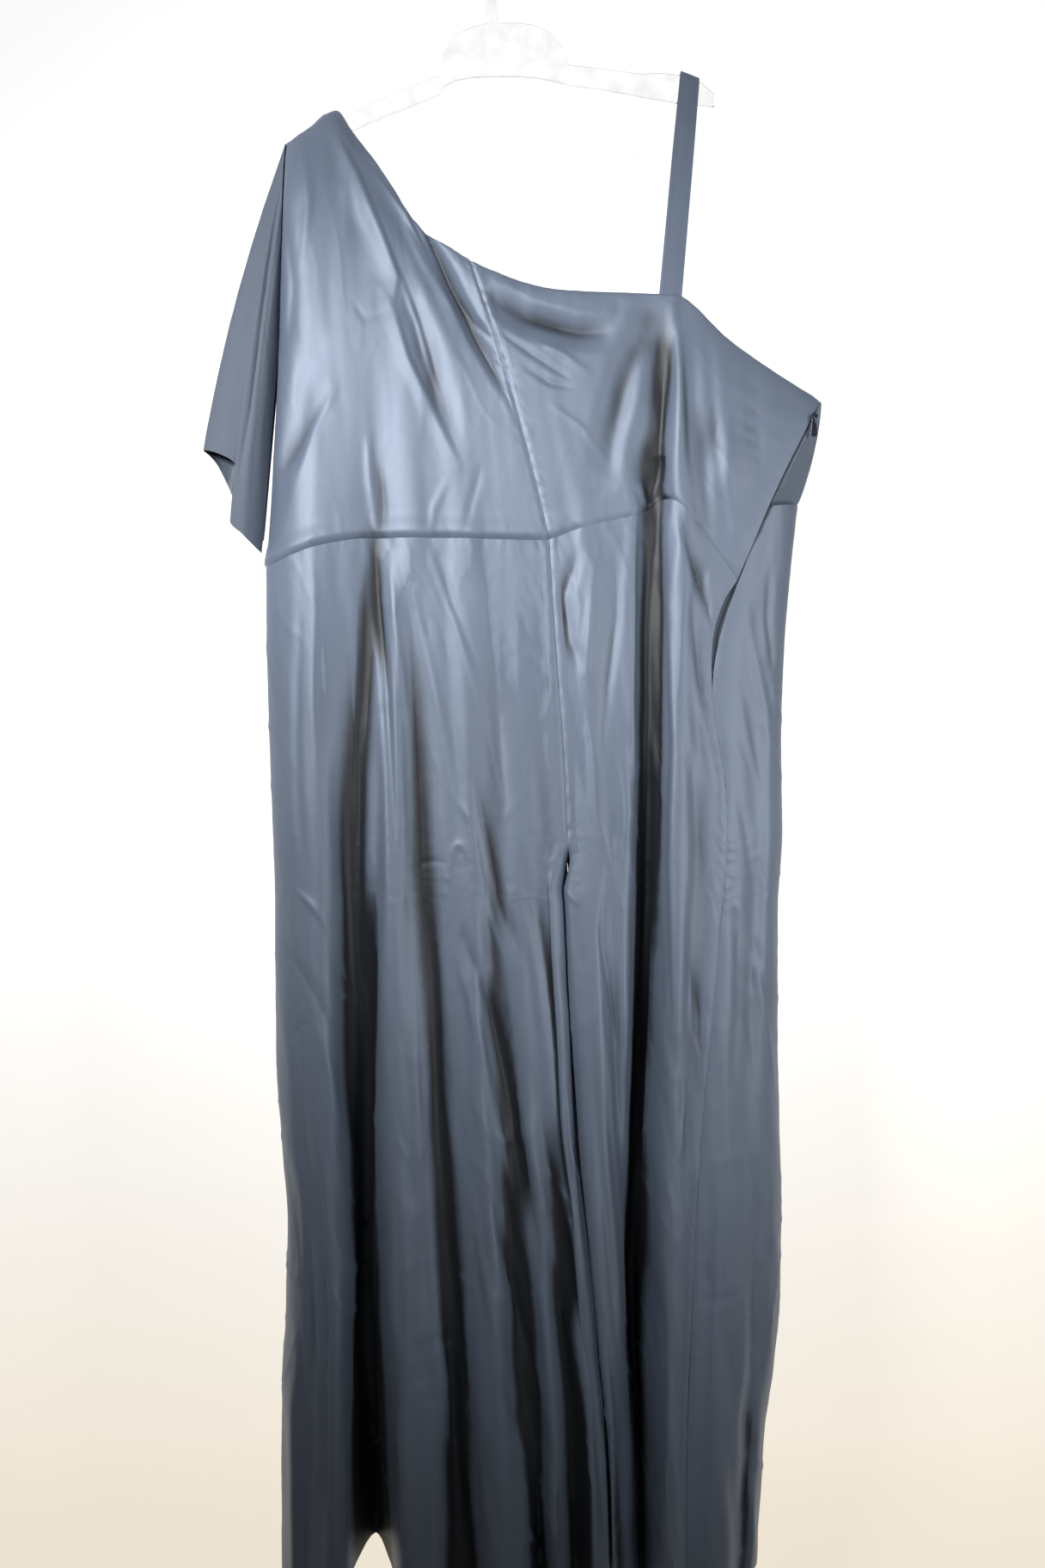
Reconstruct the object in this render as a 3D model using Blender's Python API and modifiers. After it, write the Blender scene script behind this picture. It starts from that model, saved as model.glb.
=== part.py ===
"""Wide-leg romper with one flutter-sleeved shoulder and one strap, hung on a clear plastic hanger.

Metres, +Z up, front towards -Y. The origin is where the hanger's hook bears on what holds it. Every
panel is a sheet of points, one column for each line of cloth that runs down and one row for each
section across, and the sheet is then given the wall of the cloth.
"""

from collections import namedtuple
from math import cos, hypot, pi, radians, sin

import bpy
import numpy as np

MM = 0.001
NAME = "Romper_on_hanger"

# Cloth
WALL = 1.5 * MM
SEAM = 0.3 * MM
ZIP_OPENING = 1.0 * MM

# Rolls at the edges of the flattened tube
LEFT_ROLL = 46 * MM
RIGHT_ROLL = 92 * MM
BACK_ROLL = 26 * MM
SIDE_SEAM_ANGLE = radians(25)
INNER_ROLL = 10 * MM
INNER_LEAN = 9 * MM
INNER_STRAIGHT = 2
LEG_GAP = 2.6 * MM

# Rise and crotch
DIVE_START = -890 * MM
CROTCH = -930 * MM
CROTCH_DEPTH = 6 * MM

# Heights of the rows below the waist: from, to, steps
LEG_ROWS = ((-600, -870, 6), (-870, -950, 4), (-950, -1595, 11))
WAIST_BLEND = (-600 * MM, -760 * MM)
SIDE_WAIST = 250 * MM
HEM_BLEND = (-1250 * MM, -1595 * MM)
HEM_NOTCH, NOTCH_RISE, NOTCH_HALF = -117 * MM, 34 * MM, 34 * MM
HEM_WAVE, WAVE_LENGTH = 5 * MM, 31 * MM

# Rows of the bodice, as fractions of the way from top edge to waist
BODICE_TOP_ROWS = (0.0, 0.006, 0.022)
BODICE_EVEN_ROWS = np.linspace(0.06, 1.0, 12)
UNDERARM_ROW = 8
ARMHOLE_OPENING = 12 * MM
ARMHOLE_REACH = 100 * MM
ZIP_REACH = 50 * MM
SHOULDER_PEAK = -157 * MM
CREASE_EDGE = 34 * MM

Section = namedtuple("Section", "name height left centre right front back")
SECTIONS = (
    Section("waist", -600, -227, 51, 297, 34, 12),
    Section("high hip", -650, -227, 54, 290, 36, 13),
    Section("zip end", -720, -226, 59, 283, 38, 14),
    Section("hip", -800, -224, 65, 281, 41, 15),
    Section("seat", -870, -221, 68, 282, 44, 16),
    Section("crotch", -950, -218, 73, 278, 48, 17),
    Section("thigh", -1050, -217, 78, 278, 53, 19),
    Section("knee", -1150, -213, 84, 280, 58, 21),
    Section("calf", -1250, -206, 95, 280, 62, 23),
    Section("shin", -1350, -208, 104, 278, 66, 25),
    Section("ankle", -1450, -213, 113, 267, 70, 27),
    Section("hem", -1595, -212, 118, 256, 74, 29),
)

# The zip and the side seam below it, as seen from the front
Side = namedtuple("Side", "height across")
SIDE_LINE = (
    Side(-452, 318), Side(-487, 300), Side(-520, 283), Side(-558, 265), Side(-596, 249),
    Side(-631, 234), Side(-665, 222), Side(-690, 213), Side(-718, 208), Side(-777, 213),
    Side(-828, 221), Side(-880, 223), Side(-950, 217), Side(-1050, 207), Side(-1150, 197),
    Side(-1250, 190), Side(-1350, 185), Side(-1450, 181), Side(-1595, 179),
)

Waist = namedtuple("Waist", "across height")
FRONT_WAIST = (
    Waist(-227, -616), Waist(-205, -609), Waist(-189, -603), Waist(-155, -594), Waist(-126, -590),
    Waist(-60, -590), Waist(45, -592), Waist(77, -582), Waist(102, -575), Waist(135, -567),
    Waist(150, -560), Waist(164, -551), Waist(176, -556), Waist(195, -577), Waist(210, -596),
    Waist(226, -619), Waist(235, -631), Waist(300, -631),
)
BACK_WAIST = (Waist(-227, -616), Waist(-120, -600), Waist(60, -585), Waist(200, -565), Waist(300, -553))

# Folds that run down the legs: place across and depth at waist, hip, knee and hem
FOLD_HEIGHTS = (-600, -900, -1200, -1595)
Fold = namedtuple("Fold", "name x_waist x_hip x_knee x_hem d_waist d_hip d_knee d_hem half_width")
FRONT_FOLDS = (
    Fold("outer valley", -117, -138, -129, -115, -5, -18, -38, -56, 27),
    Fold("outer panel", -178, -180, -172, -170, 4, 7, 6, 4, 40),
    Fold("outer crease", -190, -192, -178, -176, 0, -3, -9, -16, 20),
    Fold("inner panel", -85, -100, -92, -74, 4, 6, 10, 12, 26),
    Fold("triangle", -92, -70, -48, -30, -2, -7, -10, -24, 22),
    Fold("centre ridge", -30, -25, -8, 6, 2, 3, 6, 10, 20),
    Fold("first low valley", 10, -2, 16, 44, 0, -3, -13, -26, 20),
    Fold("second low valley", 40, 42, 57, 78, 0, -2, -10, -24, 17),
    Fold("gap ridge", 88, 100, 104, 128, 2, 4, 8, 10, 18),
    Fold("third low valley", 92, 104, 118, 150, 0, -3, -12, -16, 14),
    Fold("strap valley", 153, 146, 137, 137, -12, -24, -40, -48, 21),
    Fold("strap panel", 181, 177, 168, 166, 6, 8, 8, 8, 18),
)
SIDE_FOLDS = (
    Fold("back flap valley", 262, 248, 246, 232, -2, -5, -12, -18, 15),
)
BACK_FOLDS = (
    Fold("back outer", -150, -160, -150, -140, 0, -2, -9, -13, 30),
    Fold("back first", -60, -70, -60, -50, 0, 3, 8, 12, 32),
    Fold("back second", 10, 0, 8, 18, 0, -2, -7, -11, 28),
    Fold("back third", 120, 128, 130, 134, 0, -2, -8, -12, 26),
    Fold("back fourth", 190, 192, 190, 182, 0, 3, 7, 10, 26),
)

# Lines of the bodice: where each starts at the top edge, by where it ends at the waist
Line = namedtuple("Line", "waist x height depth bow")
FRONT_LINES = (
    Line(-227, -207, -195, 0, 2),
    Line(-200, -184, -179, 0, 2),
    Line(-170, -158, -162, 0, 1),
    Line(-164, -152, -171, 4.5, 0),
    Line(-140, -137, -193, 8, 0),
    Line(-105, -107, -233, 14, 0),
    Line(-62, -83, -275, 19, 2),
    Line(-5, -48, -304, 23, 8),
    Line(51, -25, -319, 25, 4),
    Line(85, 19, -338, 26, 3),
    Line(112, 60, -348, 27, 0),
    Line(140, 112, -351, 28, 0),
    Line(158, 159, -353, 29, 0),
    Line(174, 182, -355, 29, 0),
    Line(192, 210, -383, 27, -2),
    Line(212, 258, -419, 21, -4),
    Line(235, 318, -452, 5, -2),
)
BACK_LINES = (
    Line(-227, -207, -195, 0, 2),
    Line(-200, -184, -179, 0, 2),
    Line(-170, -158, -162, 0, 1),
    Line(-163, -152, -174, 4.5, 0),
    Line(-130, -128, -215, 6, 0),
    Line(-60, -72, -312, 8, 0),
    Line(40, 30, -362, 11, 0),
    Line(150, 160, -377, 12, 0),
    Line(210, 215, -408, 11, 0),
    Line(297, 321, -454, 3, 4),
)

# Folds of the bodice between two ends
Crease = namedtuple("Crease", "name x_top z_top x_low z_low depth half_width")
BODICE_CREASES = (
    Crease("shoulder ridge", -162, -172, -96, -330, 6, 20),
    Crease("neckline fold", -118, -214, 8, -448, -9, 24),
    Crease("second fold", -92, -330, -40, -500, -5, 18),
    Crease("side fold", -170, -400, -222, -560, -6, 24),
    Crease("under the strap", 166, -362, 147, -566, -10, 15),
    Crease("strap pleat", 184, -366, 172, -566, 8, 16),
    Crease("towards the zip", 214, -390, 226, -600, 5, 16),
)

# Flutter sleeve: hem by place along the armhole, from front underarm over the shoulder to back underarm
Hem = namedtuple("Hem", "along x height depth bow")
SLEEVE_HEM = (
    Hem(0.00, -232, -600, 2, 0),
    Hem(0.12, -239, -593, 12, -1),
    Hem(0.24, -249, -583, 19, -2),
    Hem(0.32, -260, -571, 20, -4),
    Hem(0.37, -257, -556, 9, -3),
    Hem(0.41, -250, -528, 4, -2),
    Hem(0.45, -262, -508, 10, -4),
    Hem(0.50, -290, -498, 1, -7),
    Hem(0.56, -280, -508, -9, -6),
    Hem(0.64, -266, -536, -14, -5),
    Hem(0.72, -258, -552, -8, -4),
    Hem(0.82, -246, -566, -17, -2),
    Hem(0.92, -238, -578, -15, -1),
    Hem(1.00, -232, -586, -11, 0),
)
SLEEVE_ROWS = 10
SLEEVE_BELLY = 5 * MM

# Strap over the hanger's arm
STRAP_WIDTH = 20 * MM
STRAP_FRONT = (170.5 * MM, -353 * MM)
STRAP_BACK = (167.5 * MM, -384 * MM)
STRAP_TOP = (190.5 * MM, -129.3 * MM)
STRAP_TAIL = 14 * MM
STRAP_LEAN = radians(5)
STRAP_TOP_LEAN = radians(20)

# Hanger
ARM_HALF = 2.2 * MM
ARM_ROUNDING = 1.8 * MM
Bar = namedtuple("Bar", "x top bottom")
HANGER = (
    Bar(-204, -203, -212),
    Bar(-184, -184, -200),
    Bar(-165, -177, -193),
    Bar(-152, -170.5, -187),
    Bar(-120, -153, -173),
    Bar(-56, -127, -147),
    Bar(-52, -104, -139),
    Bar(-41, -88, -133),
    Bar(-25, -80, -130),
    Bar(-3, -76.5, -129),
    Bar(17, -75.6, -129),
    Bar(36, -77.4, -130),
    Bar(53, -85, -133),
    Bar(66, -100, -136),
    Bar(71, -117, -138),
    Bar(104, -121, -142),
    Bar(142, -126, -149),
    Bar(165, -125.6, -153),
    Bar(180.4, -127.2, -156),
    Bar(204, -135.8, -158),
    Bar(215, -146, -159),
)
NECK = (-10, 2, -8, -76, -46)
WIRE = 1.8 * MM
HOOK_INNER = 17 * MM
HOOK_START = (-5.2 * MM, -45.7 * MM)
HOOK_BENDS = ((-4.8, -42.2), (-2.2, -38.6))
HOOK_FROM, HOOK_TO, HOOK_STEPS = radians(-78), radians(205), 26

# Zip
ZIP_TOP = -462 * MM
ZIP_END = -722 * MM
ZIP_ROWS = 15
TAPE_WALL = 0.8 * MM
TAPE_DEPTH = 2.4 * MM
SLIDER = (7.0 * MM, 2.4 * MM, 9.0 * MM)
SLIDER_PLACE = (309.5 * MM, -471 * MM)
SLIDER_TURN = radians(28)
BAIL_RADIUS, BAIL_WIRE = 2.4 * MM, 0.45 * MM
PULL_LENGTH, PULL_WIDTH, PULL_HALF = 20 * MM, 6.4 * MM, 0.55 * MM
PULL_OUT = 1.1 * MM
PULL_SHOULDER, PULL_TAPER = 2.0 * MM, 1.15
PULL_TOP, PULL_WAIST = 0.55 * MM, -5.6 * MM
EYE = (1.1 * MM, 0.55 * MM, 5.4 * MM)
SLIDER_CLEAR = 2.2 * MM

# Colours: red, green, blue, roughness, metallic
SATIN = (0.13, 0.17, 0.22, 0.35, 0.0)
STEEL = (0.62, 0.63, 0.65, 0.25, 1.0)
PEWTER = (0.16, 0.18, 0.22, 0.35, 0.9)
TAPE = (0.07, 0.09, 0.12, 0.7, 0.0)
CLEAR = (0.85, 0.87, 0.88, 0.1, 0.0)


def clear_scene():
    for obj in list(bpy.data.objects):
        bpy.data.objects.remove(obj, do_unlink=True)


def smooth(knots, values, where):
    """Height of a smooth curve through the knots, with no overshoot, held level past both ends."""
    knots = np.asarray(knots, float)
    values = np.asarray(values, float)
    if knots[0] > knots[-1]:
        knots, values = knots[::-1], values[::-1]
    rises = np.diff(values) / np.diff(knots)
    before, after = rises[:-1], rises[1:]
    level = before * after <= 0
    middle = np.where(level, 0, 2 * before * after / np.where(level, 1, before + after))
    slopes = np.concatenate([rises[:1], middle, rises[-1:]])
    where = np.clip(where, knots[0], knots[-1])
    i = np.clip(np.searchsorted(knots, where, side="right") - 1, 0, len(knots) - 2)
    span = knots[i + 1] - knots[i]
    t = (where - knots[i]) / span
    start = (1 + 2 * t) * (1 - t) ** 2 * values[i] + t * (1 - t) ** 2 * span * slopes[i]
    end = t * t * (3 - 2 * t) * values[i + 1] + t * t * (t - 1) * span * slopes[i + 1]
    return start + end


def column(table, name):
    return np.array([getattr(row, name) for row in table], float) * MM


def section(name, z):
    return smooth(column(SECTIONS, "height"), column(SECTIONS, name), z)


def ease(start, end, z):
    """0 before start and 1 after end, with a soft change between."""
    t = np.clip((z - start) / (end - start), 0, 1)
    return t * t * (3 - 2 * t)


def ridge(away):
    """1 on the line of a fold, 0 a half width away from it."""
    return 0.5 + 0.5 * np.cos(pi * np.clip(away, -1, 1))


def folds_at(folds, x, z):
    """How far the folds of this table move the cloth out at a place."""
    heights = np.array(FOLD_HEIGHTS) * MM
    total = 0.0
    for fold in folds:
        line = smooth(heights, np.array(fold[1:5]) * MM, z)
        depth = smooth(heights, np.array(fold[5:9]) * MM, z)
        total = total + depth * ridge((x - line) / (fold.half_width * MM))
    return total


def creases_at(x, z):
    total = 0.0
    for crease in BODICE_CREASES:
        run_x, run_z = (crease.x_low - crease.x_top) * MM, (crease.z_low - crease.z_top) * MM
        along = ((x - crease.x_top * MM) * run_x + (z - crease.z_top * MM) * run_z) / (run_x**2 + run_z**2)
        across = ((x - crease.x_top * MM) * run_z - (z - crease.z_top * MM) * run_x) / hypot(run_x, run_z)
        taper = np.sin(pi * np.clip(along, 0, 1)) ** 0.7
        total = total + crease.depth * MM * taper * ridge(across / (crease.half_width * MM))
    return total


def roll(distance, radius):
    """Quarter-ellipse rise of the cloth from its edge, 0 at the edge and 1 a radius in."""
    return np.sqrt(1 - (1 - np.clip(distance / radius, 0, 1)) ** 2)


def front_depth(x, z):
    """How far the front of the cloth stands out before the hanger's plane."""
    full = section("front", z) + folds_at(FRONT_FOLDS, x, z) + folds_at(SIDE_FOLDS, x, z)
    return full * roll(x - section("left", z), LEFT_ROLL) * roll(section("right", z) - x, RIGHT_ROLL)


def back_depth(x, z):
    full = section("back", z) + folds_at(BACK_FOLDS, x, z)
    return full * roll(x - section("left", z), BACK_ROLL) * roll(section("right", z) - x, BACK_ROLL)


def side_line(z):
    return smooth(column(SIDE_LINE, "height"), column(SIDE_LINE, "across"), z)


def waist_height(table, x):
    return smooth(column(table, "across"), column(table, "height"), x)


def waist_shift(level, x, waist):
    """How far a row still lies above or below its level, to follow the waist seam."""
    return (waist_height(waist, x) - WAIST_BLEND[0]) * (1 - ease(*WAIST_BLEND, level))


def leg_levels():
    steps = [np.linspace(top, low, count, endpoint=False) for top, low, count in LEG_ROWS]
    return np.append(np.concatenate(steps), LEG_ROWS[-1][1]) * MM


def row_height(level, x, waist):
    """Rows start on the waist seam, run level down the legs and rise with the hem's folds."""
    rise = NOTCH_RISE * ridge((x - HEM_NOTCH) / NOTCH_HALF) + HEM_WAVE * np.sin(x / WAVE_LENGTH)
    return level + waist_shift(level, x, waist) + rise * ease(*HEM_BLEND, level)


def side_of(level, waist):
    """Where a row meets the side seam, at the height it has there."""
    return side_line(level + waist_shift(level, SIDE_WAIST, waist))


def edge_angles(count):
    return np.linspace(0, pi / 2, count, endpoint=False)


def leg_sheet(places, waist):
    """Grid of a leg panel, from a function that gives each level's points across as x and y."""
    rows = []
    for level in leg_levels():
        x, y = places(level)
        rows.append(np.stack([x, y, row_height(level, x, waist)], axis=1))
    return np.array(rows)


def inner_roll(side, level, count, depth):
    """Points across where a leg turns back to its inseam, from the flat of the panel to the seam.

    side is -1 for the leg left of the centre and 1 for the other, depth gives the panel's depth. A round
    edge is followed by a straight wall, and in front both walls lean so that one leg covers the other.
    """
    dive = ease(DIVE_START, CROTCH, level)
    apart = LEG_GAP / 2 if dive > 0 else 0.0
    turn = np.linspace(0, pi / 2, count - INNER_STRAIGHT)
    spread = np.append(1 - np.sin(turn), np.zeros(INNER_STRAIGHT))
    spread = dive * spread + (1 - dive) * np.linspace(1, 0, count)
    x = section("centre", level) + side * (apart + INNER_ROLL * spread)
    flat = depth(x, level)
    total = -CROTCH_DEPTH - flat
    edge = np.copysign(INNER_ROLL, total)
    wall = np.linspace(0, 1, INNER_STRAIGHT + 1)[1:]
    drop = np.append(edge[: len(turn)] * (1 - np.cos(turn)), edge[0] + (total - edge)[-len(wall) :] * wall)
    lean = INNER_LEAN * dive * (total > 0) * (1 - drop / total)
    return x - lean, flat + drop * dive


def minus_front(x, z):
    return -front_depth(x, z)


def right_front(level):
    left = section("left", level)
    back = back_depth(left + BACK_ROLL * (1 - cos(SIDE_SEAM_ANGLE)), level)
    rolled = left + LEFT_ROLL * (1 - np.cos(edge_angles(5)))
    flat = np.linspace(left + LEFT_ROLL, section("centre", level) - INNER_ROLL, 17, endpoint=False)
    x = np.concatenate([rolled, flat])
    inner_x, inner_y = inner_roll(-1, level, 6, minus_front)
    x = np.concatenate([[left + BACK_ROLL * (1 - cos(SIDE_SEAM_ANGLE))], x, inner_x])
    return x, np.concatenate([[back], minus_front(x[1:-6], level), inner_y])


def left_front(level):
    inner_x, inner_y = inner_roll(1, level, 6, minus_front)
    side = side_of(level, FRONT_WAIST)
    flat = np.linspace(section("centre", level) + INNER_ROLL, side, 15)[1:]
    x = np.concatenate([inner_x[::-1], flat])
    return x, np.concatenate([inner_y[::-1], minus_front(flat, level)])


def left_back(level):
    side, right = side_of(level, BACK_WAIST), section("right", level)
    start = np.arccos(np.clip(1 - (right - side) / RIGHT_ROLL, -1, 1))
    flap = right - RIGHT_ROLL * (1 - np.cos(np.linspace(start, 0, 7)))
    behind = right - BACK_ROLL * (1 - np.cos(edge_angles(4)[1:]))
    flat = np.linspace(right - BACK_ROLL, section("centre", level) + INNER_ROLL, 9, endpoint=False)
    inner_x, inner_y = inner_roll(1, level, 5, back_depth)
    x = np.concatenate([flap, behind, flat])
    y = np.concatenate([minus_front(flap, level), back_depth(x[7:], level), inner_y])
    return np.concatenate([x, inner_x]), y


def right_back(level):
    left = section("left", level)
    inner_x, inner_y = inner_roll(-1, level, 5, back_depth)
    angles = np.linspace(SIDE_SEAM_ANGLE, pi / 2, 4, endpoint=False)
    rolled = left + BACK_ROLL * (1 - np.cos(angles))
    flat = np.linspace(section("centre", level) - INNER_ROLL, left + BACK_ROLL, 12)[1:]
    x = np.concatenate([flat, rolled[::-1]])
    return np.concatenate([inner_x[::-1], x]), np.concatenate([inner_y[::-1], back_depth(x, level)])


def bodice_sheet(waist_row, lines, folds, facing):
    """Grid of a bodice panel that rises from the row of points along its waist seam.

    facing is -1 for the front and 1 for the back.
    """
    fractions = np.concatenate([BODICE_TOP_ROWS, BODICE_EVEN_ROWS])[:, None]
    waist_x, waist_y, waist_z = waist_row.T
    knots = column(lines, "waist")
    top = {name: smooth(knots, column(lines, name), waist_x) for name in ("x", "height", "depth", "bow")}
    x = top["x"] * (1 - fractions) + waist_x * fractions + top["bow"] * 4 * fractions * (1 - fractions)
    z = top["height"] * (1 - fractions) + waist_z * fractions
    rise = np.sqrt(1 - (1 - fractions) ** 2)
    gathered = folds_at(folds, waist_x, waist_z)
    base = waist_y - facing * gathered
    y = facing * top["depth"] * (1 - rise) + base * rise + facing * gathered * fractions**3
    underarm = fractions[UNDERARM_ROW]
    opening = ARMHOLE_OPENING * np.sin(pi * np.clip(fractions / underarm, 0, 1) ** 0.6)
    from_left = waist_x - section("left", WAIST_BLEND[0])
    y = y + facing * opening * ridge(from_left / ARMHOLE_REACH)
    if facing < 0:
        inside = ease(0, CREASE_EDGE, from_left)
        y = y - creases_at(x, z) * inside * np.sin(pi * fractions) ** 0.5
        to_zip = ease(ZIP_REACH, 0, waist_x[-1] - waist_x) * (waist_x[-1] > SIDE_WAIST - ZIP_REACH)
        x = x + (side_line(z[:, -1:]) - x[:, -1:]) * to_zip
    return np.stack([x, y, z], axis=2)


def unit(vectors):
    return vectors / np.linalg.norm(vectors, axis=-1, keepdims=True)


def normals_of(sheet):
    across = np.gradient(sheet, axis=1)
    down = np.gradient(sheet, axis=0)
    return unit(np.cross(down, across))


def share(first, second):
    """One direction for the walls of two panels along the seam that joins them."""
    together = unit(first + second)
    first[...] = together
    second[...] = together


def step_back(edge, neighbour, gap):
    """Moves a sheet's edge back from its seam along the cloth, so that the gap is square to the seam."""
    inwards = unit(neighbour - edge)
    along = unit(np.gradient(edge, axis=0))
    slant = np.sqrt(1 - (inwards * along).sum(axis=-1, keepdims=True) ** 2)
    edge += inwards * gap / np.maximum(slant, 0.3)


def material(name, colour):
    made = bpy.data.materials.get(name) or bpy.data.materials.new(name)
    made.use_nodes = True
    shader = made.node_tree.nodes["Principled BSDF"]
    shader.inputs["Base Color"].default_value = (*colour[:3], 1)
    shader.inputs["Roughness"].default_value = colour[3]
    shader.inputs["Metallic"].default_value = colour[4]
    return made


def finish(obj, collection, name, colour):
    obj.name = name
    for old in list(obj.users_collection):
        old.objects.unlink(obj)
    collection.objects.link(obj)
    obj.data.materials.clear()
    obj.data.materials.append(material(name + "_material", colour))
    return obj


def split_quad(quad, points):
    """The two triangles of a four-cornered face, cut along its shorter diagonal."""
    a, b, c, d = quad
    if np.linalg.norm(points[a] - points[c]) < np.linalg.norm(points[b] - points[d]):
        return (a, b, c), (a, c, d)
    return (a, b, d), (b, c, d)


def walled(collection, name, sheet, normals, wall, colour):
    """A closed wall of cloth about a sheet of points, between two lofts through its rows.

    Both faces of the wall are cut along the same diagonals, so they stay parallel where the cloth twists.
    """
    rows, columns = sheet.shape[:2]
    middle = sheet.reshape(-1, 3)
    outer = (sheet + normals * wall / 2).reshape(-1, 3)
    inner = (sheet - normals * wall / 2).reshape(-1, 3)
    index = np.arange(rows * columns).reshape(rows, columns)
    faces = []
    for i in range(rows - 1):
        for j in range(columns - 1):
            quad = (index[i, j], index[i + 1, j], index[i + 1, j + 1], index[i, j + 1])
            for corners in split_quad(quad, middle):
                faces.append(corners)
                faces.append(tuple(corner + rows * columns for corner in corners[::-1]))
    border = np.concatenate([index[0, :-1], index[:-1, -1], index[-1, :0:-1], index[:0:-1, 0]])
    for a, b in zip(border, np.roll(border, -1)):
        faces.append((a, b, b + rows * columns, a + rows * columns))
    mesh = bpy.data.meshes.new(name)
    mesh.from_pydata(np.concatenate([outer, inner]).tolist(), [], [tuple(map(int, f)) for f in faces])
    mesh.update()
    mesh.shade_smooth()
    mesh.set_sharp_from_angle(angle=radians(60))
    return finish(bpy.data.objects.new(name, mesh), collection, name, colour)


def garment_sheets():
    """Sheets of all the sewn panels, with their seams opened by the seam gap."""
    sheets = {
        "front_leg_right": leg_sheet(right_front, FRONT_WAIST),
        "front_leg_left": leg_sheet(left_front, FRONT_WAIST),
        "back_leg_left": leg_sheet(left_back, BACK_WAIST),
        "back_leg_right": leg_sheet(right_back, BACK_WAIST),
    }
    back_row = np.concatenate([sheets["back_leg_left"][0], sheets["back_leg_right"][0, 1:]])
    front_folds = FRONT_FOLDS + SIDE_FOLDS
    sheets["front_bodice_right"] = bodice_sheet(sheets["front_leg_right"][0], FRONT_LINES, front_folds, -1)
    sheets["front_bodice_left"] = bodice_sheet(sheets["front_leg_left"][0], FRONT_LINES, front_folds, -1)
    sheets["back_bodice"] = back_bodice_sheet(back_row)
    return sheets


def back_bodice_sheet(waist_row):
    """The back panel, whose first columns are the flap that shows beside the zip."""
    sheet = bodice_sheet(waist_row, BACK_LINES, BACK_FOLDS, 1)
    turn = int(np.argmax(waist_row[:, 0]))
    fractions = np.concatenate([BODICE_TOP_ROWS, BODICE_EVEN_ROWS])[:, None]
    rise = np.sqrt(1 - (1 - fractions) ** 2)
    top_z = FRONT_LINES[-1].height * MM
    across = np.linspace(0, 1, turn + 1)[None, :]
    flap = sheet[:, : turn + 1]
    flap[..., 2] = top_z * (1 - fractions) + waist_row[: turn + 1, 2] * fractions
    flap[..., 0] = side_line(flap[:, :1, 2]) * (1 - across) + sheet[:, turn : turn + 1, 0] * across
    top_depth = -FRONT_LINES[-1].depth * MM * (1 - across)
    flap[..., 1] = top_depth * (1 - rise) + waist_row[: turn + 1, 1] * rise
    return sheet


def join_seams(sheets):
    """Shared wall directions and a gap along each seam."""
    normals = {name: normals_of(sheet) for name, sheet in sheets.items()}
    levels = leg_levels()
    rise = levels >= DIVE_START - SEAM
    inseam = levels <= CROTCH + SEAM
    below_underarm = slice(UNDERARM_ROW, None)
    whole = slice(None)
    split = sheets["back_leg_left"].shape[1]
    seams = (
        ("front_leg_right", (rise, -1), "front_leg_left", (rise, 0)),
        ("back_leg_left", (rise, -1), "back_leg_right", (rise, 0)),
        ("front_leg_right", (inseam, -1), "back_leg_right", (inseam, 0)),
        ("front_leg_left", (inseam, 0), "back_leg_left", (inseam, -1)),
        ("front_leg_right", (whole, 0), "back_leg_right", (whole, -1)),
        ("front_leg_left", (whole, -1), "back_leg_left", (whole, 0)),
        ("front_bodice_right", (whole, -1), "front_bodice_left", (whole, 0)),
        ("front_bodice_right", (below_underarm, 0), "back_bodice", (below_underarm, -1)),
        ("front_bodice_right", (-1, whole), "front_leg_right", (0, whole)),
        ("front_bodice_left", (-1, whole), "front_leg_left", (0, whole)),
        ("back_bodice", (-1, slice(None, split)), "back_leg_left", (0, whole)),
        ("back_bodice", (-1, slice(split - 1, None)), "back_leg_right", (0, whole)),
    )
    for first, where, second, there in seams:
        one, other = normals[first][where], normals[second][there]
        share(one, other)
        normals[first][where] = one
        normals[second][there] = other
    for name, way in (("front_bodice_right", -1), ("back_bodice", 1)):
        shoulder = sheets[name][0, :, 0] < SHOULDER_PEAK
        normals[name][0, shoulder] = (0, 0, 1)
        sheets[name][0, shoulder, 1] += way * SEAM / 2
    for name, sheet in sheets.items():
        zip_side = (name == "front_bodice_left", name == "back_bodice")
        first_gap = ZIP_OPENING / 2 if zip_side[1] else SEAM / 2
        last_gap = ZIP_OPENING / 2 if zip_side[0] else SEAM / 2
        step_back(sheet[:, 0], sheet[:, 1].copy(), first_gap)
        step_back(sheet[:, -1], sheet[:, -2].copy(), last_gap)
        if "leg" in name:
            step_back(sheet[0], sheet[1].copy(), SEAM / 2)
        else:
            step_back(sheet[-1], sheet[-2].copy(), SEAM / 2)
    return normals


def open_zip_below_waist(sheets):
    """Widens the side seam to the zip's opening as far down as the zip runs."""
    levels = leg_levels()
    zipped = levels > WAIST_BLEND[1] - SEAM
    more = ZIP_OPENING / 2 - SEAM / 2
    for name, edge, inside in (("front_leg_left", -1, -2), ("back_leg_left", 0, 1)):
        points = sheets[name][zipped, edge]
        step_back(points, sheets[name][zipped, inside], more)
        sheets[name][zipped, edge] = points


def halved(points):
    """The same line of points with one more in the middle of each stretch."""
    middle = (points[1:] + points[:-1]) / 2
    both = np.empty((len(points) * 2 - 1, 3))
    both[0::2] = points
    both[1::2] = middle
    return both


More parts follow.
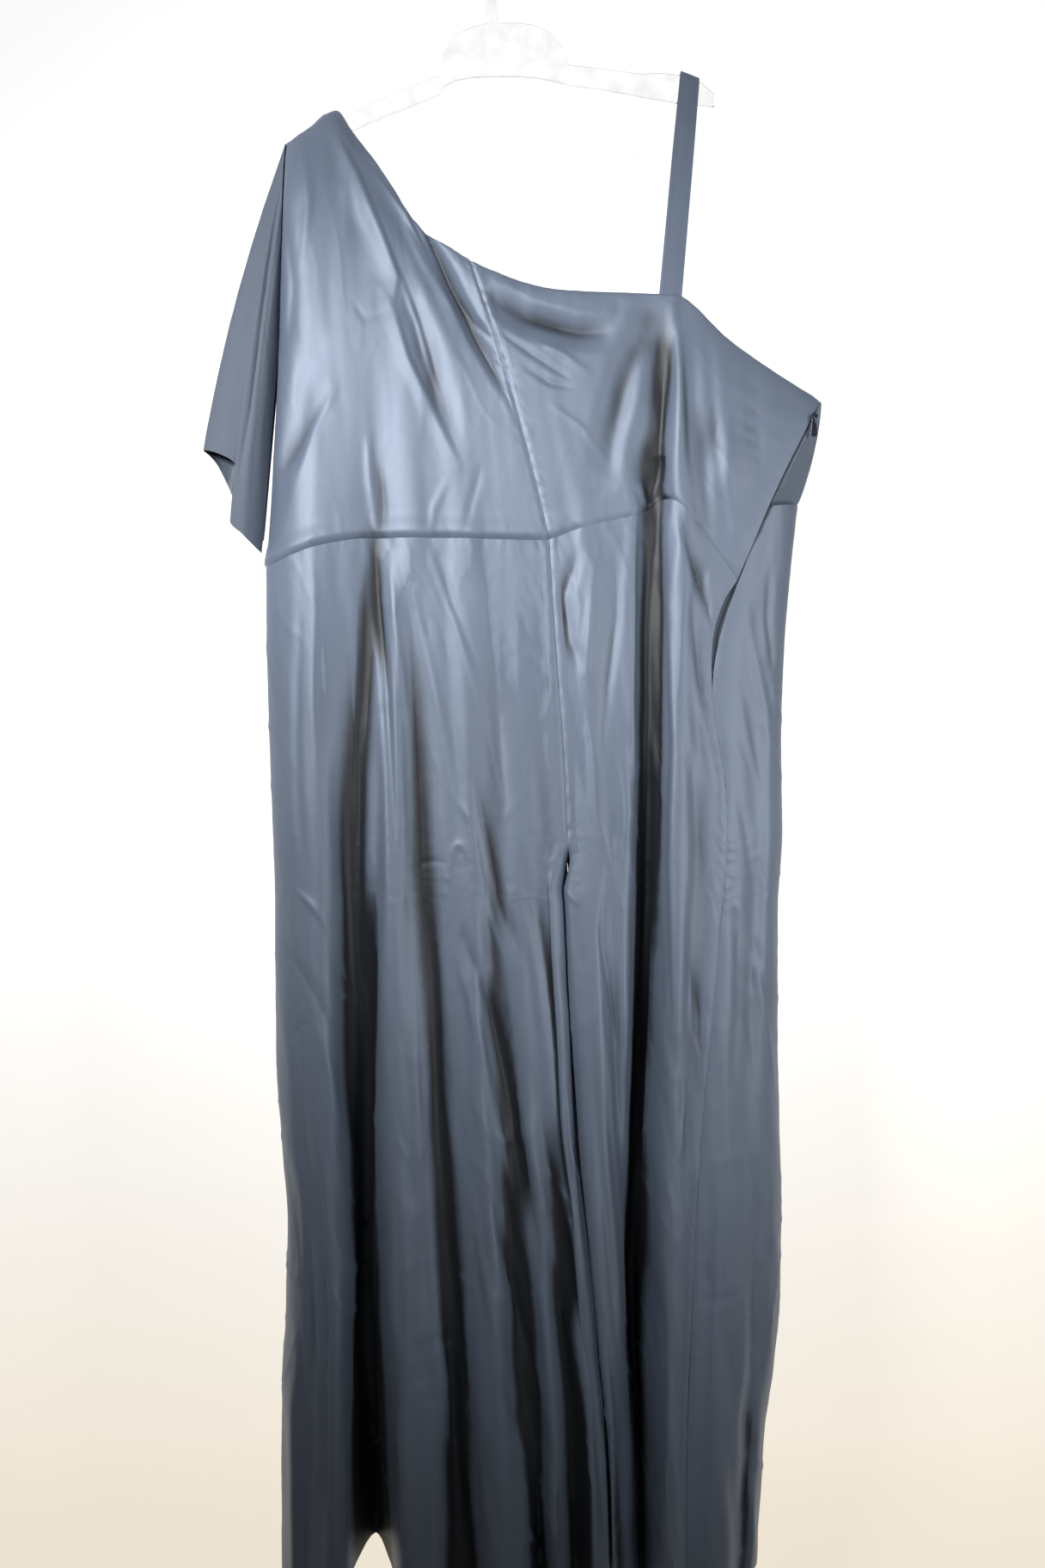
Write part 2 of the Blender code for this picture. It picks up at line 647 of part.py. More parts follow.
def sleeve_sheet(sheets):
    """Rows run from the armhole to the hem, columns from front underarm over the shoulder to the back."""
    front = sheets["front_bodice_right"][UNDERARM_ROW::-1, 1] - np.array([WALL / 2 + 3 * SEAM, 0, 0])
    back = sheets["back_bodice"][1 : UNDERARM_ROW + 1, -1] - np.array([WALL / 2 + 5 * SEAM, 0, 0])
    armhole = halved(np.concatenate([front, back]))
    along = np.linspace(0, 1, len(armhole))
    knots = np.array([hem.along for hem in SLEEVE_HEM])
    hem = {name: smooth(knots, column(SLEEVE_HEM, name), along) for name in ("x", "height", "depth", "bow")}
    fraction = np.linspace(0, 1, SLEEVE_ROWS)[:, None]
    middle = 4 * fraction * (1 - fraction)
    lobe = np.sin(2 * pi * along) * SLEEVE_BELLY
    x = armhole[:, 0] * (1 - fraction) + hem["x"] * fraction + hem["bow"] * middle
    y = armhole[:, 1] * (1 - fraction) - hem["depth"] * fraction - lobe * middle
    z = armhole[:, 2] * (1 - fraction) + hem["height"] * fraction
    return np.stack([x, y, z], axis=2)


def depth_on(sheet, x, z):
    """The sheet's y at a place seen from the front, from its nearest points."""
    away = (sheet[..., 0] - x) ** 2 + (sheet[..., 2] - z) ** 2
    near = np.argsort(away, axis=None)[:4]
    weight = 1 / (away.ravel()[near] + 1e-9)
    return float((sheet[..., 1].ravel()[near] * weight).sum() / weight.sum())


def strap_sheet(sheets):
    """A loop of doubled satin from the front neckline over the hanger's arm to the back neckline."""
    behind = WALL + 4 * SEAM
    over = ARM_HALF + SEAM + WALL / 2
    arc_z = STRAP_TOP[1] - over
    path = []
    for x, z, sheet, way in (
        (*STRAP_FRONT, sheets["front_bodice_left"], 1),
        (*STRAP_BACK, sheets["back_bodice"], -1),
    ):
        edge = depth_on(sheet, x, z - 2 * MM) + way * behind
        low = depth_on(sheet, x, z - STRAP_TAIL) + way * behind
        climb = [(x, low, z - STRAP_TAIL), (x, edge, z)]
        for t in (0.25, 0.5, 0.75, 1.0):
            goal = (STRAP_TOP[0], -way * over, arc_z)
            climb.append(tuple(a + (b - a) * t for a, b in zip((x, edge, z), goal)))
        path.append(climb)
    top = [(STRAP_TOP[0], -over * cos(a), arc_z + over * sin(a)) for a in np.linspace(0, pi, 7)[1:-1]]
    path = np.array(path[0] + top + path[1][::-1])
    height = (path[:, 2] - STRAP_FRONT[1]) / (STRAP_TOP[1] - STRAP_FRONT[1])
    lean = STRAP_LEAN + (STRAP_TOP_LEAN - STRAP_LEAN) * ease(0.82, 0.96, height)
    across = np.stack([np.cos(lean), np.zeros_like(lean), -np.sin(lean)], axis=1)
    places = np.linspace(-0.5, 0.5, 4)[None, :, None]
    return path[:, None, :] + across[:, None, :] * places * STRAP_WIDTH


def tape_sheet(sheets):
    """The zip's tape lies behind both edges of the opening."""
    front = np.concatenate([sheets["front_bodice_left"][:, -2:], sheets["front_leg_left"][:, -2:]])
    flap = np.concatenate([sheets["back_bodice"][:, :2], sheets["back_leg_left"][:, :2]])
    rows = []
    for z in np.linspace(ZIP_TOP, ZIP_END, ZIP_ROWS):
        edges = (front[:, 0], front[:, 1], flap[:, 0], flap[:, 1])
        rows.append([[np.interp(-z, -e[:, 2], e[:, axis]) for axis in (0, 1)] + [z] for e in edges])
    sheet = np.array(rows)
    return sheet - normals_of(sheet) * TAPE_DEPTH


def flat_outline(collection, name, loops, half, edge, colour):
    """A flat plate about y = 0 from closed loops of (x, z), with its edges rounded."""
    curve = bpy.data.curves.new(name, "CURVE")
    curve.dimensions = "2D"
    curve.fill_mode = "BOTH"
    curve.extrude = half - edge
    curve.bevel_depth = edge
    curve.bevel_resolution = 1
    curve.offset = -edge
    for loop in loops:
        spline = curve.splines.new("POLY")
        spline.points.add(len(loop) - 1)
        for point, (x, z) in zip(spline.points, loop):
            point.co = (x, z, 0, 1)
        spline.use_cyclic_u = True
    obj = bpy.data.objects.new(name, curve)
    obj.rotation_euler = (pi / 2, 0, 0)
    return finish(obj, collection, name, colour)


def hanger(collection):
    top = [(bar.x * MM, bar.top * MM) for bar in HANGER]
    bottom = [(bar.x * MM, bar.bottom * MM) for bar in reversed(HANGER)]
    left, right, lean, low, high = (value * MM for value in NECK)
    neck = [(left, low), (left - 1.5 * MM, high), (right - 3.5 * MM, high), (right, low)]
    before = [p for p in top if p[0] < left]
    after = [p for p in top if p[0] > right]
    return flat_outline(
        collection, "hanger_arms", [before + neck + after + bottom], ARM_HALF, ARM_ROUNDING, CLEAR
    )


def hook(collection):
    curve = bpy.data.curves.new("hanger_hook", "CURVE")
    curve.dimensions = "3D"
    curve.bevel_depth = WIRE
    curve.bevel_resolution = 2
    curve.use_fill_caps = True
    radius = HOOK_INNER + WIRE
    path = [HOOK_START] + [(x * MM, z * MM) for x, z in HOOK_BENDS]
    for angle in np.linspace(HOOK_FROM, HOOK_TO, HOOK_STEPS):
        path.append((radius * cos(angle), -HOOK_INNER + radius * sin(angle)))
    spline = curve.splines.new("POLY")
    spline.points.add(len(path) - 1)
    for point, (x, z) in zip(spline.points, path):
        point.co = (x, 0, z, 1)
    return finish(bpy.data.objects.new("hanger_hook", curve), collection, "hanger_hook", STEEL)


def slider_face(sheets):
    """How far out the slider's front face lies, clear of the cloth at the top of the zip."""
    x, z = SLIDER_PLACE
    cloth = min(depth_on(sheets[name], x, z) for name in ("front_bodice_left", "back_bodice"))
    return cloth - WALL / 2 - SLIDER_CLEAR - SLIDER[1]


def zip_slider(collection, cutters, face):
    x, z = SLIDER_PLACE
    bpy.ops.mesh.primitive_cube_add(size=1, location=(x, face + SLIDER[1] / 2, z), scale=SLIDER)
    body = bpy.context.object
    bpy.ops.object.transform_apply(location=False, rotation=False, scale=True)
    body.rotation_euler = (0, SLIDER_TURN, 0)
    rounding = body.modifiers.new("Rounded", "BEVEL")
    rounding.width = 0.7 * MM
    rounding.segments = 2
    bpy.ops.mesh.primitive_torus_add(
        location=(x, face, z), rotation=(0, pi / 2, 0), major_radius=BAIL_RADIUS,
        minor_radius=BAIL_WIRE, major_segments=20, minor_segments=8,
    )
    bail = finish(bpy.context.object, cutters, "bail", PEWTER)
    bail.hide_render = True
    bail.display_type = "WIRE"
    joined = body.modifiers.new("Bail", "BOOLEAN")
    joined.operation = "UNION"
    joined.object = bail
    return finish(body, collection, "zip_slider", PEWTER)


def zip_pull(collection, face):
    """A teardrop tab whose origin is on its hinge, the bar of its eye."""
    x, z = SLIDER_PLACE
    round_end = PULL_WIDTH / 2
    bottom = -PULL_LENGTH + 2 * PULL_TOP + round_end
    outline = [(-PULL_SHOULDER, PULL_TOP), (-PULL_SHOULDER * PULL_TAPER, PULL_WAIST)]
    outline += [
        (round_end * cos(angle), bottom + round_end * sin(angle))
        for angle in np.linspace(radians(160), radians(380), 13)
    ]
    outline += [(PULL_SHOULDER * PULL_TAPER, PULL_WAIST), (PULL_SHOULDER, PULL_TOP)]
    half, top, low = EYE
    eye = [(-half, -top), (half, -top), (half, -low), (-half, -low)]
    pull = flat_outline(collection, "zip_pull", [outline, eye], PULL_HALF, 0.1 * MM, PEWTER)
    pull.location = (x, face - PULL_OUT, z)
    return pull


def main():
    clear_scene()
    collection = bpy.data.collections.new(NAME)
    cutters = bpy.data.collections.new("Cutters")
    for made in (collection, cutters):
        bpy.context.scene.collection.children.link(made)

    sheets = garment_sheets()
    normals = join_seams(sheets)
    open_zip_below_waist(sheets)
    for name, sheet in sheets.items():
        walled(collection, name, sheet, normals[name], WALL, SATIN)
    sleeve = sleeve_sheet(sheets)
    walled(collection, "flutter_sleeve", sleeve, normals_of(sleeve), WALL, SATIN)
    strap = strap_sheet(sheets)
    walled(collection, "shoulder_strap", strap, normals_of(strap), WALL, SATIN)
    tape = tape_sheet(sheets)
    walled(collection, "zip_tape", tape, normals_of(tape), TAPE_WALL, TAPE)

    face = slider_face(sheets)
    zip_slider(collection, cutters, face)
    zip_pull(collection, face)
    hanger(collection)
    hook(collection)


main()
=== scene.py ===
"""Full-length satin romper with one fluttering sleeve and one strap, hung on a clear plastic hanger.

Each panel of cloth is a fine shell on the form of its solid. Its broad folds come from the cut of the
panel, its creases are placed one by one, and small wrinkles and seam puckers lie over them.
"""

from collections import namedtuple
from math import cos, hypot, pi, radians, sin

import bpy
import numpy as np
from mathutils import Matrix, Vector


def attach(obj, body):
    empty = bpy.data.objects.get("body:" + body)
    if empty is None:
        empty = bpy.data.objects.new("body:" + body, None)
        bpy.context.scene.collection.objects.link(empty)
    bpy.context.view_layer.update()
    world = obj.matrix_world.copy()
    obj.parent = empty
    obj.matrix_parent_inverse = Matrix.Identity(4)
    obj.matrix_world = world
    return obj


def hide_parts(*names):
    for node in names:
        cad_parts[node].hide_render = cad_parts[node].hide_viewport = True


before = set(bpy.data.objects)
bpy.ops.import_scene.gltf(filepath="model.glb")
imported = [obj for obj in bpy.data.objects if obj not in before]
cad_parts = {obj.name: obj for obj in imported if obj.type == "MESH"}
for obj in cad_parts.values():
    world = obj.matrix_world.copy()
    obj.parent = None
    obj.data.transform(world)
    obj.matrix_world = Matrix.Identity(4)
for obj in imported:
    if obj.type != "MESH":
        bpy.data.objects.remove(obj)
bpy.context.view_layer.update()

bl_info = {
    "name": "Satin romper on a hanger",
    "version": (1, 0, 0),
    "blender": (4, 5, 0),
    "location": "3D View > Sidebar > Romper",
    "description": "Dresses the romper, its zip and its hanger, and sets the studio round them",
    "category": "Object",
}

MM = 0.001

# Cloth, with the solids' wall and seams
WALL = 1.5 * MM
SEAM = 0.3 * MM
ZIP_OPENING = 1.0 * MM

# Rolls at the edges of the flattened tube
LEFT_ROLL = 46 * MM
RIGHT_ROLL = 92 * MM
BACK_ROLL = 26 * MM
SIDE_SEAM_ANGLE = radians(25)
INNER_ROLL = 10 * MM
INNER_LEAN = 9 * MM
INNER_STRAIGHT = 2
LEG_GAP = 2.6 * MM

# Rise and crotch
DIVE_START = -890 * MM
CROTCH = -930 * MM
CROTCH_DEPTH = 6 * MM
LATER_BEHIND = 16 * MM

# Heights of the rows below the waist: from, to, steps
LEG_ROWS = ((-600, -870, 6), (-870, -950, 4), (-950, -1595, 11))
WAIST_BLEND = (-600 * MM, -760 * MM)
SIDE_WAIST = 250 * MM
HEM_BLEND = (-1250 * MM, -1595 * MM)
HEM_NOTCH, NOTCH_RISE, NOTCH_HALF = -117 * MM, 34 * MM, 34 * MM
HEM_WAVE, WAVE_LENGTH = 5 * MM, 31 * MM

# Rows of the bodice, as fractions of the way from top edge to waist
BODICE_ROWS = np.append((0.0, 0.006, 0.022), np.linspace(0.06, 1.0, 12))[:, None]
UNDERARM_ROW = 8
ARMHOLE_OPENING = 12 * MM
ARMHOLE_REACH = 100 * MM
ZIP_REACH = 50 * MM
SHOULDER_PEAK = -157 * MM
CREASE_EDGE = 34 * MM

Section = namedtuple("Section", "name height left centre right front back")
SECTIONS = (
    Section("waist", -600, -227, 51, 297, 34, 12),
    Section("high hip", -650, -227, 54, 290, 36, 13),
    Section("zip end", -720, -226, 59, 283, 38, 14),
    Section("hip", -800, -224, 65, 281, 41, 15),
    Section("seat", -870, -221, 68, 282, 44, 16),
    Section("crotch", -950, -218, 73, 278, 48, 17),
    Section("thigh", -1050, -217, 78, 278, 53, 19),
    Section("knee", -1150, -213, 84, 280, 58, 21),
    Section("calf", -1250, -206, 95, 280, 62, 23),
    Section("shin", -1350, -208, 104, 278, 66, 25),
    Section("ankle", -1450, -213, 113, 267, 70, 27),
    Section("hem", -1595, -212, 118, 256, 74, 29),
)

# The zip and the side seam below it, as seen from the front
Side = namedtuple("Side", "height across")
SIDE_LINE = (
    Side(-452, 318), Side(-487, 300), Side(-520, 283), Side(-558, 265), Side(-596, 249),
    Side(-631, 234), Side(-665, 222), Side(-690, 213), Side(-718, 208), Side(-777, 213),
    Side(-828, 221), Side(-880, 223), Side(-950, 217), Side(-1050, 207), Side(-1150, 197),
    Side(-1250, 190), Side(-1350, 185), Side(-1450, 181), Side(-1595, 179),
)

Waist = namedtuple("Waist", "across height")
FRONT_WAIST = (
    Waist(-227, -616), Waist(-205, -609), Waist(-189, -603), Waist(-155, -594), Waist(-126, -590),
    Waist(-60, -590), Waist(45, -592), Waist(77, -582), Waist(102, -575), Waist(135, -567),
    Waist(150, -560), Waist(164, -551), Waist(176, -556), Waist(195, -577), Waist(210, -596),
    Waist(226, -619), Waist(235, -631), Waist(300, -631),
)
BACK_WAIST = (Waist(-227, -616), Waist(-120, -600), Waist(60, -585), Waist(200, -565), Waist(300, -553))

# Folds that run down the legs: place across and depth at waist, hip, knee and hem
FOLD_HEIGHTS = (-600, -900, -1200, -1595)
Fold = namedtuple("Fold", "name x_waist x_hip x_knee x_hem d_waist d_hip d_knee d_hem half_width")
FRONT_FOLDS = (
    Fold("outer valley", -117, -138, -129, -115, -5, -18, -38, -56, 27),
    Fold("outer panel", -178, -180, -172, -170, 4, 7, 6, 4, 40),
    Fold("outer crease", -190, -192, -178, -176, 0, -3, -9, -16, 20),
    Fold("inner panel", -85, -100, -92, -74, 4, 6, 10, 12, 26),
    Fold("triangle", -92, -70, -48, -30, -2, -7, -10, -24, 22),
    Fold("centre ridge", -30, -25, -8, 6, 2, 3, 6, 10, 20),
    Fold("first low valley", 10, -2, 16, 44, 0, -3, -13, -26, 20),
    Fold("second low valley", 40, 42, 57, 78, 0, -2, -10, -24, 17),
    Fold("gap ridge", 88, 100, 104, 128, 2, 4, 8, 10, 18),
    Fold("third low valley", 92, 104, 118, 150, 0, -3, -12, -16, 14),
    Fold("strap valley", 153, 146, 137, 137, -12, -24, -40, -48, 21),
    Fold("strap panel", 181, 177, 168, 166, 6, 8, 8, 8, 18),
)
SIDE_FOLDS = (
    Fold("back flap valley", 262, 248, 246, 232, -2, -5, -12, -18, 15),
)
BACK_FOLDS = (
    Fold("back outer", -150, -160, -150, -140, 0, -2, -9, -13, 30),
    Fold("back first", -60, -70, -60, -50, 0, 3, 8, 12, 32),
    Fold("back second", 10, 0, 8, 18, 0, -2, -7, -11, 28),
    Fold("back third", 120, 128, 130, 134, 0, -2, -8, -12, 26),
    Fold("back fourth", 190, 192, 190, 182, 0, 3, 7, 10, 26),
)

# Lines of the bodice: where each starts at the top edge, by where it ends at the waist
Line = namedtuple("Line", "waist x height depth bow")
FRONT_LINES = (
    Line(-227, -207, -195, 0, 2),
    Line(-200, -184, -179, 0, 2),
    Line(-170, -158, -162, 0, 1),
    Line(-164, -152, -171, 4.5, 0),
    Line(-140, -137, -193, 8, 0),
    Line(-105, -107, -233, 14, 0),
    Line(-62, -83, -275, 19, 2),
    Line(-5, -48, -304, 23, 8),
    Line(51, -25, -319, 25, 4),
    Line(85, 19, -338, 26, 3),
    Line(112, 60, -348, 27, 0),
    Line(140, 112, -351, 28, 0),
    Line(158, 159, -353, 29, 0),
    Line(174, 182, -355, 29, 0),
    Line(192, 210, -383, 27, -2),
    Line(212, 258, -419, 21, -4),
    Line(235, 318, -452, 5, -2),
)
BACK_LINES = (
    Line(-227, -207, -195, 0, 2),
    Line(-200, -184, -179, 0, 2),
    Line(-170, -158, -162, 0, 1),
    Line(-163, -152, -174, 4.5, 0),
    Line(-130, -128, -215, 6, 0),
    Line(-60, -72, -312, 8, 0),
    Line(40, 30, -362, 11, 0),
    Line(150, 160, -377, 12, 0),
    Line(210, 215, -408, 11, 0),
    Line(297, 321, -454, 3, 4),
)

# Folds of the bodice between two ends
Drape = namedtuple("Drape", "name x_top z_top x_low z_low depth half_width")
BODICE_DRAPES = (
    Drape("shoulder ridge", -162, -172, -96, -330, 6, 20),
    Drape("neckline fold", -118, -214, 8, -448, -9, 24),
    Drape("second fold", -92, -330, -40, -500, -5, 18),
    Drape("side fold", -170, -400, -222, -560, -6, 24),
    Drape("under the strap", 166, -362, 147, -566, -10, 15),
    Drape("strap pleat", 184, -366, 172, -566, 8, 16),
    Drape("towards the zip", 214, -390, 226, -600, 5, 16),
)

# Flutter sleeve: hem by place along the armhole, from front underarm over the shoulder to back underarm
Hem = namedtuple("Hem", "along x height depth bow")
SLEEVE_HEM = (
    Hem(0.00, -232, -600, 2, 0),
    Hem(0.12, -239, -593, 12, -1),
    Hem(0.24, -249, -583, 19, -2),
    Hem(0.32, -260, -571, 20, -4),
    Hem(0.37, -257, -556, 9, -3),
    Hem(0.41, -250, -528, 4, -2),
    Hem(0.45, -262, -508, 10, -4),
    Hem(0.50, -290, -498, 1, -7),
    Hem(0.56, -280, -508, -9, -6),
    Hem(0.64, -266, -536, -14, -5),
    Hem(0.72, -258, -552, -8, -4),
    Hem(0.82, -246, -566, -17, -2),
    Hem(0.92, -238, -578, -15, -1),
    Hem(1.00, -232, -586, -11, 0),
)
SLEEVE_ROWS = 10
SLEEVE_BELLY = 5 * MM

# Strap over the hanger's arm
STRAP_WIDTH = 20 * MM
STRAP_FRONT = (170.5 * MM, -353 * MM)
STRAP_BACK = (167.5 * MM, -384 * MM)
STRAP_TOP = (190.5 * MM, -129.3 * MM)
STRAP_TAIL = 14 * MM
STRAP_LEAN = radians(5)
STRAP_TOP_LEAN = radians(20)
STRAP_TURN = (0.82, 0.96)
STRAP_STITCHED = (2, -3)
ARM_HALF = 2.2 * MM

# Zip
ZIP_TOP = -462 * MM
ZIP_END = -722 * MM
ZIP_ROWS = 15
TAPE_WALL = 0.8 * MM
TAPE_DEPTH = 2.4 * MM

# Finer sizes of the cloth that shows
STRAP_WALL = 1.2 * MM
SLEEVE_HEM_DEPTH, HEM_STEP = 9 * MM, 0.25 * MM
STITCH_PITCH, STITCH_LENGTH, STITCH_RADIUS = 3.0 * MM, 2.1 * MM, 0.16 * MM
TOOTH_WIDTH, TOOTH_HEIGHT, TOOTH_LIFT = 2.4 * MM, 1.1 * MM, 0.3 * MM
SHARP_ANGLE = radians(62)
NOISE_CELLS = 97
# The last of these is the share of the satin's colour left in the deepest fold, as painted shade
HOLLOW_REACH, HOLLOW_DEPTH, DEEPEST_PAINTED_FOLD_SHADE = 18, 4.5 * MM, 0.08

# Near a seam: how far the cloth turns in, how much of its creases stays, and where they are whole
SEAM_DIP, SEAM_DIP_REACH = 0.9 * MM, 2.6 * MM
SEAM_HOLD, SEAM_FREE = 0.3, 14 * MM

# Bulge above the waist seam: how far out, the heights where it starts, is full and ends, and its sides
BLOUSING, BLOUSED, BLOUSED_SIDES = 2.2 * MM, (5 * MM, 6 * MM, 26 * MM), (90 * MM, 20 * MM)

# Stage: the sweep, the camera and the lights
FLOOR = -1.78
SWEEP_SIZE, SWEEP_PLACE, SWEEP_HEIGHT = (9, 4.2, 1), (0, -1.85, FLOOR), 4.6
SWEEP_ROUND, SWEEP_STEPS = 0.2, 12
# The heights over which the wall's painted shade, warmer and darker near the floor, fades to white; the
# depths over which the light that the sweep gives out fades towards the front of the floor; and the least of
# that light
WALL_SHADE_HEIGHTS, WALL_EDGE, WALL_DIMMEST = (-1.7, -1.0), (-0.1, 0.12), 0.02
SKY_COLOUR = (1.0, 0.995, 0.985, 1)
CAMERA_PLACE = (0.0255, -1.507, -0.8279)
CAMERA_SENSOR, CAMERA_LENS, CAMERA_CLIP = 36, 35, (0.02, 30)
Lamp = namedtuple("Lamp", "place target size colour spread")
KEY = Lamp((-0.78, -1.4, -0.12), (0.06, 0.0, -0.54), (0.55, 0.35), (1.0, 0.985, 0.97), radians(57))
STRIP = Lamp((-1.5, -0.7, -0.3), (0.0, 0.0, -0.6), (0.3, 1.2), (0.93, 0.96, 1.0), pi)
FILL = Lamp((1.2, -1.2, -0.7), (0.22, 0.0, -0.86), (0.5, 0.9), (1.0, 0.98, 0.95), radians(44))

# The fields of what a pattern piece is cut to, in metres and square metres
Cut = namedtuple("Cut", "width length area")

# Seams of each panel: the edge, how far its cloth turns in, and how strongly it puckers
Seam = namedtuple("Seam", "edge roll pucker")
PANEL_SEAMS = {
    "front_leg_right": (Seam("left", 1, 0.35), Seam("right", 1, 0.55), Seam("top", 0.1, 0.6)),
    "front_leg_left": (Seam("left", 1, 0.55), Seam("right", 1, 0.8), Seam("top", 0.1, 0.6)),
    "back_leg_left": (Seam("left", 1, 0.8), Seam("right", 1, 0.5), Seam("top", 0.1, 0.6)),
    "back_leg_right": (Seam("left", 1, 0.5), Seam("right", 1, 0.35), Seam("top", 0.1, 0.6)),
    "front_bodice_right": (
        Seam("left", 0.6, 0.3), Seam("right", 1, 0.5), Seam("bottom", 1, 0.5), Seam("top", 0, 0.2),
    ),
    "front_bodice_left": (
        Seam("left", 1, 0.5), Seam("right", 1, 0.6), Seam("bottom", 1, 0.5), Seam("top", 0, 0.25),
    ),
    "back_bodice": (
        Seam("left", 1, 0.6), Seam("right", 0.6, 0.3), Seam("bottom", 1, 0.5), Seam("top", 0, 0.2),
    ),
}

# Rows of stitches: the panel and which of its lines they follow
STITCH_ROWS = (
    ("front_bodice_right", lambda sheet: sheet[:, -2]),
    ("front_leg_right", lambda sheet: sheet[: len(sheet) * 5 // 8, -2]),
    ("front_leg_left", lambda sheet: sheet[60:, -2]),
    ("back_leg_right", lambda sheet: sheet[:, 1]),
)

# Creases in mm: height, widths to the left and right as seen from the front, how soft the crest is from
# 0 for a knife edge to 1 for a bell, and the places (x, z) that the line runs through
Crease = namedtuple("Crease", "name height left right soft path")
BODICE_LINES = (
    Crease("shoulder ridge", 3.2, 16, 4, 0.2, (
        (-157, -191), (-136, -233), (-110, -296), (-95, -336), (-100, -360),
    )),
    Crease("shoulder ridge low", 2.6, 14, 4, 0.2, ((-101, -361), (-85, -416), (-59, -471), (-36, -518))),
    Crease("twin ridge", 1.6, 6, 4, 0.2, ((-91, -341), (-76, -381), (-64, -425), (-54, -453))),
    Crease("neckline fold", -5.0, 5, 15, 0.3, (
        (-126, -201), (-104, -235), (-77, -272), (-48, -339), (-18, -401), (9, -450), (21, -478),
    )),
    Crease("lip beside the fold", 3.4, 12, 5, 0.6, (
        (-123, -226), (-89, -272), (-58, -336), (-28, -400), (1, -450),
    )),
    Crease("facing flap", -2.2, 6, 10, 0.4, ((-86, -281), (-67, -318), (-46, -356))),
    Crease("flap end", -2.0, 5, 9, 0.3, ((-38, -356), (-24, -378), (-4, -396), (11, -403))),
    Crease("first bias crease", -1.6, 4, 8, 0.3, ((0, -388), (36, -414), (73, -438))),
    Crease("second bias crease", 1.6, 5, 7, 0.3, ((44, -401), (67, -414), (89, -431))),
    Crease("third bias crease", -1.5, 4, 8, 0.3, ((26, -423), (52, -441), (75, -445))),
    Crease("fourth bias crease", 1.1, 5, 5, 0.3, ((52, -460), (85, -485), (107, -518))),
    Crease("shade under the strap", -5.5, 26, 17, 1.0, (
        (150, -361), (132, -418), (115, -476), (105, -535),
    )),
    Crease("strap ridge", 2.2, 9, 8, 0.4, (
        (174, -357), (165, -395), (160, -435), (153, -485), (149, -535),
    )),
    Crease("strap pleat", -3.0, 7, 16, 0.5, ((177, -361), (183, -426), (186, -476), (190, -535))),
    Crease("second strap ridge", 1.6, 8, 8, 0.4, ((171, -445), (166, -493), (165, -545))),
    Crease("pocket", -5.5, 14, 12, 0.7, ((159, -508), (156, -531), (150, -555))),
    Crease("pocket lip", 2.5, 5, 5, 0.4, ((137, -535), (142, -547), (145, -560))),
    Crease("first streak", 1.8, 5, 5, 0.3, ((235, -413), (236, -460), (240, -518), (242, -560))),
    Crease("second streak", -2.0, 4, 8, 0.3, ((251, -426), (250, -476), (255, -535))),
    Crease("third streak", 1.5, 5, 6, 0.3, ((273, -445), (268, -485), (260, -528))),
    Crease("towards the zip", -2.0, 8, 10, 0.8, ((207, -401), (210, -460), (217, -535), (224, -593))),
    Crease("shade under the neckline", -7.0, 24, 20, 0.8, ((-12, -352), (30, -376), (78, -390), (116, -390))),
    Crease("edge dimple", -1.4, 7, 7, 0.8, ((115, -356), (119, -368), (112, -385))),
    Crease("outer slope", -3.0, 20, 16, 1.0, ((-165, -454), (-189, -493), (-209, -526), (-219, -585))),
    Crease("outer slope ridge", 1.6, 8, 6, 0.5, ((-154, -445), (-176, -485), (-193, -535))),
    Crease("pleat above the waist", 2.2, 6, 5, 0.3, ((-124, -491), (-122, -535), (-116, -583))),
    Crease("pleat shade", -1.6, 6, 6, 0.4, ((-113, -518), (-109, -555), (-109, -586))),
    Crease("armhole pull", -1.4, 6, 10, 0.5, ((-206, -276), (-198, -343), (-203, -401))),
    Crease("shoulder pull", 1.2, 6, 8, 0.5, ((-188, -210), (-183, -268), (-189, -326))),
    Crease("small line", -0.9, 4, 5, 0.3, ((-139, -360), (-128, -378), (-104, -370))),
    Crease("waist line one", 1.2, 5, 7, 0.5, ((-48, -535), (-60, -560), (-64, -586))),
    Crease("waist line two", -1.2, 6, 6, 0.5, ((-14, -518), (-24, -555), (-31, -586))),
)
